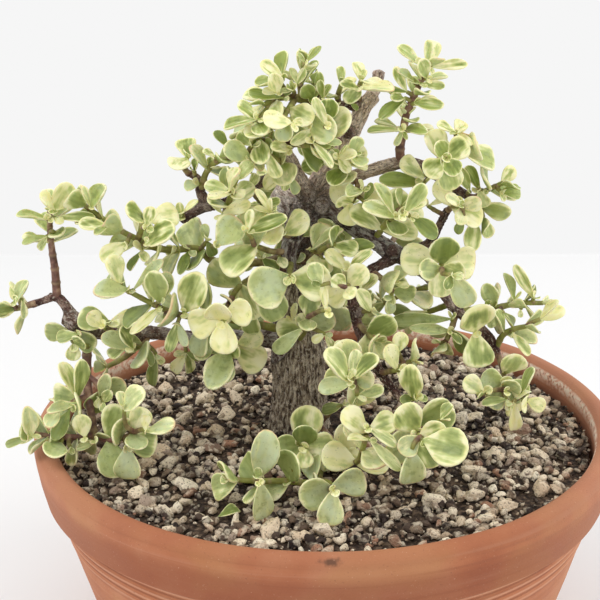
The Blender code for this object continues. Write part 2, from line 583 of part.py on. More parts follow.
def arc(middle_radius, middle_height, size, start, end, steps):
    """Profile points round an arc, angles in degrees from straight out, turning upwards."""
    for step in range(steps + 1):
        angle = math.radians(start + (end - start) * step / steps)
        yield middle_radius + size * math.cos(angle), middle_height + size * math.sin(angle)


def build_bowl(collection, cutters, material):
    """The terracotta bowl: rolled rim, collar, ridged and tapering body, flat base with drain holes."""
    half = RIM_THICKNESS / 2
    collar_foot = BOWL_HEIGHT - COLLAR_HEIGHT
    profile = list(arc(RIM_RADIUS - half, BOWL_HEIGHT - half, half, 90, 0, 3))
    profile += arc(COLLAR_FOOT_RADIUS - 2 * MM, collar_foot + 2 * MM, 2 * MM, 0, -90, 2)
    for ridge in range(RIDGES):
        top = collar_foot - 0.4 * MM - ridge * RIDGE_PITCH
        profile.append((body_radius(top) - RIDGE_DEPTH, top))
        profile.append((body_radius(top) + RIDGE_DEPTH * 0.6, top - RIDGE_PITCH / 2))
    profile.append((body_radius(collar_foot / 3), collar_foot / 3))
    profile += arc(BASE_RADIUS - 3 * MM, 3 * MM, 3 * MM, 0, -90, 2)
    profile.append((0, 0))
    inside = [(0, FLOOR), (inner_radius(FLOOR) - 4 * MM, FLOOR), (inner_radius(FLOOR + 4 * MM), FLOOR + 4 * MM),
              (inner_radius(collar_foot), collar_foot),
              (RIM_RADIUS - RIM_THICKNESS, BOWL_HEIGHT - half)]
    profile += inside + list(arc(RIM_RADIUS - half, BOWL_HEIGHT - half, half, 180, 90, 3))[1:]
    bowl = turned("bowl", profile, collection)
    holes = []
    for number in range(DRAIN_HOLES):
        angle = 2 * math.pi * (number + 0.5) / DRAIN_HOLES
        place = (DRAIN_CIRCLE * math.cos(angle), DRAIN_CIRCLE * math.sin(angle), FLOOR / 2)
        bpy.ops.mesh.primitive_cylinder_add(vertices=10, radius=DRAIN_RADIUS, depth=FLOOR * 2, location=place)
        hole = bpy.context.object
        hole.name = f"drain_{number}"
        bpy.context.collection.objects.unlink(hole)
        cutters.objects.link(hole)
        holes.append(hole)
    bowl = cut(bowl, holes)
    bowl.data.materials.append(material)
    bowl.data.shade_smooth()
    bowl.data.set_sharp_from_angle(angle=math.radians(40))
    return bowl


def soil_height(x, y):
    """Height of the soil's lumpy surface."""
    lump = noise.noise(Vector((x, y, 0)) * 90) + 0.6 * noise.noise(Vector((x, y, 7)) * 210)
    return mound_height(math.hypot(x, y)) + SOIL_RELIEF * lump


def stone_places(walls):
    """Where the large stones lie, on a rough grid and clear of walls: (x, y, radius, turn)."""
    draw = random.Random(5)
    edge = inner_radius(SOIL_LEVEL)
    foot = seen_at(*WOOD["trunk"][0][:3])
    rows = int(edge / STONE_PITCH) + 2
    places = []
    for row in range(-rows, rows + 1):
        for column in range(-rows, rows + 1):
            x = (column + row % 2 / 2 + draw.uniform(-STONE_STRAY, STONE_STRAY)) * STONE_PITCH
            y = (row * math.sqrt(0.75) + draw.uniform(-STONE_STRAY, STONE_STRAY)) * STONE_PITCH
            radius = draw.uniform(*STONE_RADIUS)
            turn = draw.uniform(0, 2 * math.pi)
            spot = Vector((x, y, soil_height(x, y)))
            if math.hypot(x, y) < edge - 1.4 * radius and math.hypot(x - foot.x, y - foot.y) > STONE_PITCH \
                    and not any(wall.find_nearest(spot, STONE_CLEAR * radius)[0] for wall in walls):
                places.append((x, y, radius, turn))
    return places


def add_stone(place, collection):
    """A rough, flat-topped stone that stands a little less than its radius out of the soil."""
    x, y, radius, turn = place
    draw = random.Random(turn)
    mesh = bpy.data.meshes.new("stone")
    work = bmesh.new()
    depth = radius * 0.85 + STONE_ROOT
    bmesh.ops.create_cone(work, cap_ends=True, segments=STONE_SIDES, radius1=radius * 1.15,
                          radius2=radius * 0.62, depth=depth)
    stretch = {}
    for vertex in work.verts:
        side = round(math.atan2(vertex.co.y, vertex.co.x) * STONE_SIDES / (2 * math.pi), 1)
        stretch.setdefault(side, draw.uniform(0.8, 1.12))
        vertex.co.x *= stretch[side]
        vertex.co.y *= stretch[side]
    work.to_mesh(mesh)
    work.free()
    stone = add_object("stone", mesh, collection)
    stone.location = (x, y, soil_height(x, y) + radius * 0.85 - depth / 2)
    stone.rotation_euler = (draw.uniform(-0.15, 0.15), draw.uniform(-0.15, 0.15), turn)
    return stone


def build_soil(collection, cutters, material, wood, walls):
    """The soil that fills the bowl, with stones in its surface and plain holes for what stands in it."""
    spacing = 0.5 * MM
    edge = inner_radius(SOIL_LEVEL) - spacing
    profile = [(edge * ring / SOIL_RINGS, SOIL_LEVEL) for ring in range(SOIL_RINGS + 1)]
    collar_foot = BOWL_HEIGHT - COLLAR_HEIGHT
    profile += [(inner_radius(collar_foot) - spacing, collar_foot),
                (inner_radius(FLOOR + 4 * MM) - spacing, FLOOR + 4 * MM),
                (inner_radius(FLOOR) - 4 * MM - spacing, FLOOR + spacing), (0, FLOOR + spacing)]
    soil = turned("soil", profile, collection)
    for vertex in soil.data.vertices:
        if vertex.co.z > SOIL_LEVEL - MM and math.hypot(vertex.co.x, vertex.co.y) < edge - MM:
            vertex.co.z = soil_height(vertex.co.x, vertex.co.y)
    stones = [add_stone(place, collection) for place in stone_places(walls)]
    soil = join_all(soil, stones)
    sleeve = [point + Vector((0, 0, 0, 2 * GAP)) for point in wood]
    sleeve[0].z -= 2 * GAP
    sleeve = add_tube("trunk_hole", sleeve, cutters, 2)
    soil = cut(soil, [sleeve])
    soil.data.materials.append(material)
    return soil


def build_wood(collection, material):
    """Trunk and woody limbs, fused into one solid."""
    limbs = [add_tube(name, wood_path(points), collection, 2 if name == "trunk" else 1)
             for name, points in WOOD.items()]
    trunk = join_all(limbs[0], limbs[1:])
    trunk.name = "trunk"
    trunk.data.materials.append(material)
    trunk.data.shade_smooth()
    trunk.data.set_sharp_from_angle(angle=math.radians(50))
    return trunk


def seated_path(path, wood):
    """A twig's route from where its root just clears the wood that carries it."""
    total = sum((end - start).to_3d().length for start, end in zip(path, path[1:]))
    reach = 0
    while reach < total:
        spot, ahead = along_path(path, reach / total)
        side = ahead.orthogonal().normalized()
        rim = [spot + Matrix.Rotation(turn * math.pi / 4, 3, ahead) @ side * FOOT for turn in range(8)]
        if all(stands_clear(point, wood) for point in rim):
            break
        reach += 0.1 * MM
    walked = 0
    kept = [Vector((*spot, FOOT))]
    for before, point in zip(path, path[1:]):
        walked += (point - before).to_3d().length
        if walked > reach + 1.2 * MM:
            kept.append(point)
    return kept


def stands_clear(point, wood):
    """Whether a point is outside the wood by the gap."""
    near, normal, _, away = wood.find_nearest(point)
    return away >= GAP and (point - near).dot(normal) > 0


def add_leaf(leaf, collection):
    """One leaf as a small closed solid."""
    mesh = bpy.data.meshes.new("leaf")
    work = bmesh.new()
    sides = len(LEAF_RING)
    bmesh.ops.create_uvsphere(work, u_segments=sides, v_segments=2, radius=1)
    for vertex in work.verts:
        if abs(vertex.co.z) > 0.5:
            vertex.co = leaf_point(leaf, LEAF_FAT, 0, vertex.co.z)
        else:
            turn = math.atan2(vertex.co.y, vertex.co.x) / (2 * math.pi)
            vertex.co = leaf_point(leaf, *LEAF_RING[round(turn * sides) % sides], 0)
    face_outwards(work)
    work.to_mesh(mesh)
    work.free()
    return add_object("leaf", mesh, collection)


def build_sprays(collection, material, wood_item, leaves):
    """Every leafy spray: its twigs and leaves fused into one solid."""
    wood = BVHTree.FromObject(wood_item, bpy.context.evaluated_depsgraph_get())
    for name, spray in SPRAYS.items():
        paths = [stem_path(twig) for twig in spray]
        paths[0] = seated_path(paths[0], wood)
        tubes = [add_tube(name, path, collection, 0) for path in paths]
        blades = [add_leaf(leaf, collection) for leaf in leaves if leaf["spray"] == name]
        item = join_all(tubes[0], tubes[1:] + blades)
        item.name = name
        item.data.materials.append(material)


def fallen_leaf():
    """A leaf that has dropped onto the soil."""
    spot = seen_at(*FALLEN_LEAF)
    spot.z = soil_height(spot.x, spot.y) + FALLEN_LIFT
    line = Vector((0.8, 0.55, 0.1)).normalized()
    face = Vector((0.1, -0.25, 1))
    face = (face - line * face.dot(line)).normalized()
    return {"root": spot, "line": line, "face": face, "length": 10.5 * MM, "width": 0.6}


def build_fallen_leaf(collection, material):
    """The dropped leaf's solid."""
    item = add_leaf(fallen_leaf(), collection)
    item.name = "fallen_leaf"
    item.data.materials.append(material)


def main():
    for item in list(bpy.data.objects):
        bpy.data.objects.remove(item)
    scene = bpy.context.scene
    parts = bpy.data.collections.new("potted_elephant_bush")
    cutters = bpy.data.collections.new("cutters")
    scene.collection.children.link(parts)
    scene.collection.children.link(cutters)
    terracotta = new_material("terracotta", (0.52, 0.21, 0.11), 0.85)
    earth = new_material("earth", (0.13, 0.10, 0.08), 0.95)
    bark = new_material("bark", (0.22, 0.17, 0.14), 0.9)
    leaf_green = new_material("leaf", (0.34, 0.45, 0.18), 0.45)
    build_bowl(parts, cutters, terracotta)
    wood = build_wood(parts, bark)
    wood_walls = [tube_ghost(wood_path(points), 0.5 * MM) for points in WOOD.values()]
    twig_walls = {name: [tube_ghost(stem_path(twig), 0.5 * MM) for twig in spray]
                  for name, spray in SPRAYS.items()}
    leaves = grow_leaves(wood_walls, twig_walls)
    walls = [leaf["skin"] for leaf in leaves] + [wall for tubes in twig_walls.values() for wall in tubes]
    walls.append(leaf_ghost(fallen_leaf(), 0))
    build_soil(parts, cutters, earth, wood_path(WOOD["trunk"]), wood_walls + walls)
    build_sprays(parts, leaf_green, wood, leaves)
    build_fallen_leaf(parts, leaf_green)


main()
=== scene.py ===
"""The finished look of a potted elephant bush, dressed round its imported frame.

Limbs, twigs and leaves follow the frame's own routes, laid out along the sight lines of one
viewpoint in front of the bush: each point of a route is (across, down, depth), the first two in a
600 x 600 picture seen from there and the depth in millimetres behind the bowl's axis.
The frame's leaves are grown again by the same rule, so that each fine leaf lies where its solid is,
and smaller shoots are then grown in the free space between them.
"""
import math
import random

import bmesh
import bpy
import numpy as np
from mathutils import Matrix, Vector, noise
from mathutils.bvhtree import BVHTree
from mathutils.kdtree import KDTree


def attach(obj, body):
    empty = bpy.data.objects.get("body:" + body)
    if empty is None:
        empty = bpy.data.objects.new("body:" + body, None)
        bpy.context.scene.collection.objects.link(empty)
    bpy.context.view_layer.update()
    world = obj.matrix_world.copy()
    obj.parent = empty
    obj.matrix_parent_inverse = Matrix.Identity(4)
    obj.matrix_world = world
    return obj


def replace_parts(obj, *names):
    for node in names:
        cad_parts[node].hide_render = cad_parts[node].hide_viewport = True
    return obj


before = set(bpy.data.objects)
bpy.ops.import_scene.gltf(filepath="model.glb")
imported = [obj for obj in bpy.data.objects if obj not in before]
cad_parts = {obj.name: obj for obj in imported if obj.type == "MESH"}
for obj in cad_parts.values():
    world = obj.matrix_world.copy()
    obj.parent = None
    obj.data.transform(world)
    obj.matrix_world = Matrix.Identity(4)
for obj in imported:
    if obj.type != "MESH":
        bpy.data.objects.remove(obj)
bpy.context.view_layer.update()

MM = 0.001
TURN = 2 * math.pi

# The bowl
RIM_RADIUS = 135 * MM
RIM_THICKNESS = 10 * MM
BOWL_HEIGHT = 122 * MM
COLLAR_HEIGHT = 27 * MM
COLLAR_FOOT_RADIUS = 131.5 * MM
NECK_RADIUS = 127.5 * MM            # body just under the collar
BASE_RADIUS = 101 * MM
WALL = 8.5 * MM
FLOOR = 10 * MM
COLLAR_ROUND = 2 * MM               # rounding of the collar's foot
BASE_ROUND = 3 * MM                 # rounding of the base's edge
FLOOR_SLOPE = 4 * MM                # inside, where the floor runs up into the wall
RIDGES = 4                          # throwing ridges under the collar
RIDGE_PITCH = 4.6 * MM
RIDGE_DEPTH = 0.8 * MM
RIDGE_DROP = 0.4 * MM               # where they start, under the collar
RIDGE_TURN = TURN * ((BOWL_HEIGHT - COLLAR_HEIGHT - RIDGE_DROP) / RIDGE_PITCH - 0.25)
DRAIN_HOLES = 3
DRAIN_RADIUS = 6 * MM
DRAIN_CIRCLE = 48 * MM
COLLAR_STAIN = (0.0025, -0.1335, 0.1200)    # a small dark stain on the rim
BOWL_STEPS = 180
BOWL_CLEAR = 1.5 * MM               # leaves keep this far off the bowl

# The soil
SOIL_LEVEL = 110 * MM
SOIL_MOUND = 3 * MM
SOIL_RELIEF = 1.3 * MM
SOIL_STEPS = 200
SOIL_CLEAR = 2.4 * MM               # leaves keep this far above the mound
STONE_PITCH = 29 * MM               # between the large stones in the soil's surface
STONE_STRAY = 0.26                  # how far they lie off an even grid, in pitches
STONE_RADIUS = (3.6 * MM, 5.4 * MM)
STONE_CLEAR = 1.4                   # distance in their radii that they keep from wood and leaves
PUMICE = 2800                       # how many pale grains
CRUMBS = 3300                       # how many dark ones
PUMICE_SIZES = (1.3, 6.4)           # in mm
CRUMB_SIZES = (1.2, 5.8)
STONE_FLATS = 7                     # flat breaks on each grain
# Kinds of grain: (least size in mm, how many shapes, subdivisions, shift of the seed)
GRAIN_KINDS = [(0, 12, 1, 0.2), (2.4, 14, 2, 0), (6.2, 8, 3, 0.5)]

# The viewpoint that the routes are laid out from, which is also the camera's place
EYE_DISTANCE = 0.593                # from the middle of the rim
EYE_RISE = math.radians(24.08)
LOOK_DOWN = math.radians(19.04)
LOOK_LEFT = math.radians(1.19)
HEAD_TILT = math.radians(0.41)
PICTURE = 600
FOCAL = 1250.7                      # in picture units
SENSOR = 36

# A leaf, as shares of its length
LEAF_WIDTH = 0.86
LEAF_THICKNESS = 0.15
LEAF_EDGE = [(0.00, 0.00), (0.24, 0.36), (0.62, 1.00), (0.95, 0.68)]     # along, half across
LEAF_FAT = 0.42                     # where along the leaf it is thickest
LEAF_SUNK = 0.06                    # how much of it is sunk in the twig
LEAF_CUP = 0.10
LEAF_ARCH = 0.06
LEAF_STATIONS = 11
LEAF_SIDES = 16
TUFT_WIDTH = 0.7
TUFT_SKY = 0.2                      # how far the faces of a tuft's leaves turn up
TOP_PAIR = 0.97                     # share of a twig below its top pair
END_ON = 0.5                        # below this sine a twig counts as pointing at the viewpoint
OWN_CLEAR = 0.30                    # leaves of one spray may meet only this near their roots
TWIG_CLEAR = 0.14                   # leaves may meet wood and other sprays only this near their roots
TUBE_MARGIN = 0.5 * MM              # how much wider than the frame's twigs and wood their test tubes are
TUFT_MARGIN = 0.3 * MM              # the same for a tuft's twigs
BEARER_STEP = 1.5 * MM              # between the places that a tuft may grow from
LEAF_OPEN = 0.75                    # how strongly blades turn to the open side

# Turn and lean in degrees and size that a crowded leaf tries, in this order
WAYS_CLEAR = [(0, 0, 1), (14, 4, 1), (-14, -4, 1), (6, -16, 1), (-6, 16, 1), (28, 0, 0.94), (-28, 0, 0.94),
              (0, -30, 0.9), (20, -22, 0.88), (-20, 24, 0.88), (40, 8, 0.85), (-40, -8, 0.85),
              (0, 34, 0.8), (55, -14, 0.78), (-55, 14, 0.78), (12, -40, 0.72), (-12, 40, 0.72)]
BUD_SIZE = (3.6, 6.2)               # length of a twig's end pair, in mm
AXIL_SIZE = (4.5, 8.0)              # length of a leaflet in a leaf's axil, in mm
AXIL_SHARE = 0.3                    # of the leaves have such leaflets
TUFT_GIRTH = (1.2, 1.0, 0.85)       # radius of a tuft's twig from its root to its end, in mm
TWIG_STEP = 1.1 * MM
TWIG_SIDES = 10
BACK_SHUN = 2.0                     # how much a bearer counts as further away for each mm behind the axis

# The wood
WOOD_STEP = 1.0 * MM
WOOD_SIDES = 20
WOOD_VOXEL = 0.8 * MM
RING_PITCH = 6 * MM                 # between the ring scars of thin limbs
TRUNK_FOOT = (0.0, 0.005)
TRUNK_CLEAR = 15.5 * MM

# The surroundings
WALL_COLOUR = (246, 246, 246)
TABLE_WIDTH = 4.0
TABLE_FRONT = 2.0
TABLE_BACK = 0.654
LIGHT_AIM = Vector((0, 0, 0.15))
# Soft boxes that face the bush: (place, size, power)
LIGHTS = {"key": ((-0.85, -0.25, 1.15), 0.55, 5.4), "fill": ((1.05, -0.1, 0.8), 0.9, 4.4),
          "back": ((0.25, 0.85, 1.2), 0.8, 1.0)}

# Tones of grains by their hue: (hue, red, green, blue)
PUMICE_TONES = [(0.0, 250, 238, 214), (0.3, 240, 222, 194), (0.5, 222, 198, 168), (0.7, 186, 168, 150),
                (0.86, 148, 118, 98), (1.0, 180, 134, 108)]
CRUMB_TONES = [(0.0, 38, 31, 31), (0.5, 74, 61, 55), (0.8, 124, 104, 86), (1.0, 206, 184, 156)]

# Patches of soil with few pale stones: (across, down, reach in mm)
BARE_PATCHES = [(262, 408, 17), (222, 425, 11), (440, 450, 15), (480, 415, 12), (395, 505, 12),
                (190, 385, 10)]
BARE_SHARE = 0.75                   # of the stones left out there
DROPPED_CLEAR = 6.5 * MM            # no loose stones this near the dropped leaf's middle
# Stones that stand out: (across, down, size in mm, hue)
NAMED_STONES = [(228, 415, 10, 0.35), (160, 455, 11, 0.5), (98, 464, 9.5, 0.7), (205, 398, 8, 0.3),
                (148, 462, 9, 0.5), (166, 510, 7, 0.2), (135, 492, 7.5, 0.3), (543, 400, 8, 0.45),
                (473, 418, 7, 0.2), (495, 432, 8, 0.5), (475, 494, 7.5, 0.25), (440, 490, 7, 0.3)]


def limb(*points):
    """A woody limb: (across, down, depth, radius in mm) from its root to its end."""
    return points


WOOD = {
    "trunk": limb(
        (298, 446, 5, 17.5), (299, 426, 5, 16), (299, 404, 5, 13.4), (298, 372, 5, 12.4), (297, 335, 6, 12),
        (298, 300, 7, 11.5), (300, 268, 8, 10.5), (304, 238, 8, 9.5), (309, 212, 7, 8.5),
        (313, 198, 6, 6.5)),
    "old_top": limb((307, 228, 8, 7), (298, 212, 12, 7.2), (286, 199, 17, 6.6), (280, 193, 20, 5.6)),
    "leader": limb(
        (311, 208, 6, 6), (322, 176, 6, 4.4), (338, 148, 6, 3.8), (352, 130, 6, 3.8), (365, 106, 7, 3.8),
        (374, 95, 8, 3.4)),
    "snag": limb((370, 100, 8, 2.6), (377, 84, 12, 2.6), (379, 72, 14, 2.9)),
    "dark_limb": limb((312, 206, 5, 4.6), (303, 186, 1, 3.7), (292, 167, -2, 3.7), (284, 151, -4, 3)),
    "crown_limb": limb((363, 104, 7, 2.8), (348, 105, 4, 2.3), (330, 107, 0, 2.2), (315, 105, -4, 2.2)),
    "violet_limb": limb(
        (306, 196, 3, 3.6), (290, 182, -1, 3), (274, 179, -4, 2.7), (257, 184, -6, 2.6),
        (242, 194, -7, 2.5), (224, 203, -8, 2.4), (206, 205, -9, 2.8), (194, 212, -9, 2.4),
        (181, 219, -9, 2.3)),
    "fork_twig": limb(
        (206, 205, -9, 2.6), (201, 192, -8, 2.1), (199, 181, -7, 2.1), (193, 175, -6, 1.8),
        (186, 172, -5, 1.6)),
    "right_limb": limb(
        (312, 203, 5, 4.6), (330, 190, 3, 3.4), (351, 178, 2, 3.2), (376, 169, 1, 3), (402, 163, 0, 2.8),
        (420, 165, 2, 2.5), (437, 176, 4, 2.3), (454, 188, 5, 2.3), (468, 196, 4, 2.2)),
    "great_limb": limb(
        (311, 208, 4, 6.5), (332, 210, 0, 4.2), (357, 229, -6, 3.9), (383, 246, -10, 3.8),
        (400, 256, -12, 3.6), (417, 266, -14, 3.1), (438, 287, -16, 2.5), (457, 310, -15, 2.7),
        (472, 322, -14, 2.4), (488, 337, -13, 2.2), (497, 353, -14, 2)),
    "rising_twig": limb(
        (398, 256, -12, 2.8), (413, 251, -11, 2.3), (430, 242, -9, 2.3), (440, 224, -7, 1.9),
        (448, 209, -6, 1.8)),
    "hanging_limb": limb(
        (397, 257, -12, 2.8), (384, 263, -15, 2.2), (370, 270, -18, 2.2), (358, 279, -20, 2.2),
        (353, 295, -22, 2.3), (356, 319, -24, 2.4), (362, 337, -26, 2.4), (367, 352, -29, 2.2),
        (380, 372, -36, 2.2), (393, 389, -43, 1.9), (405, 403, -50, 1.7)),
    "front_limb": limb(
        (308, 218, 0, 5.4), (296, 234, -6, 3.6), (289, 250, -10, 3.4), (290, 264, -11, 2.8),
        (293, 280, -10, 2.2)),
    "low_limb": limb(
        (288, 338, 6, 6), (258, 338, 2, 4), (225, 338, 0, 3.5), (190, 338, -1, 3.4), (158, 333, -4, 3.1),
        (128, 332, -8, 3), (104, 333, -10, 3.1), (88, 329, -11, 4), (74, 321, -12, 4.4),
        (68, 309, -12, 2.6), (57, 297, -11, 2.4), (45, 300, -11, 1.9), (31, 305, -12, 1.8)),
}

# Old cut ends and scars that stand out of the wood, seen in the finished bush only
KNOTS = {
    "crotch_scar": limb((322, 205, -1, 3.4), (322, 207, -7, 3.0)),
    "crotch_knob": limb((306, 212, 1, 3.6), (305, 213, -5, 3.0)),
    "left_knob": limb((300, 236, -4, 2.6), (294, 238, -9, 2.2)),
    "great_knob": limb((352, 226, -4, 2.6), (349, 222, -10, 2.0)),
    "elbow_knob": limb((394, 253, -12, 3.2), (392, 250, -17, 2.4)),
    "cup": limb((354, 309, -23, 2.0), (360, 313, -28, 2.6)),
    "end_bud": limb((441, 277, -15, 1.4), (443, 274, -20, 1.8)),
    "leader_knob": limb((352, 131, 5, 3.0), (347, 133, 0, 2.4)),
    "arm_knob": limb((67, 317, -12, 4.2), (79, 325, -15, 5.0)),
    "arm_burl": limb((92, 326, -12, 4.0), (83, 333, -16, 3.8)),
}


def stem(*route, pairs=2, first=0.45, size=13, taper=0.3, roll=0, lean=58, thick=1.5, tip=1.05, young=0.2,
         width=LEAF_WIDTH, sky=0.0):
    """A leafy twig: its route, the pairs of leaves up it and how the lowest pair stands.

    first is the share of the twig below the lowest pair, size the leaf length in mm, taper how
    much smaller the top pair is, roll the turn of the lowest pair out of the picture's plane and
    lean its angle off the twig, both in degrees, thick and tip the twig's radius in mm, young from
    0 to 1 how pale the leaves are, width their share of their length, and sky from 0 to 1 how far
    their faces turn up.
    """
    return {"route": route, "pairs": pairs, "first": first, "size": size, "taper": taper, "roll": roll,
            "lean": lean, "thick": thick, "tip": tip, "young": young, "width": width, "sky": sky}


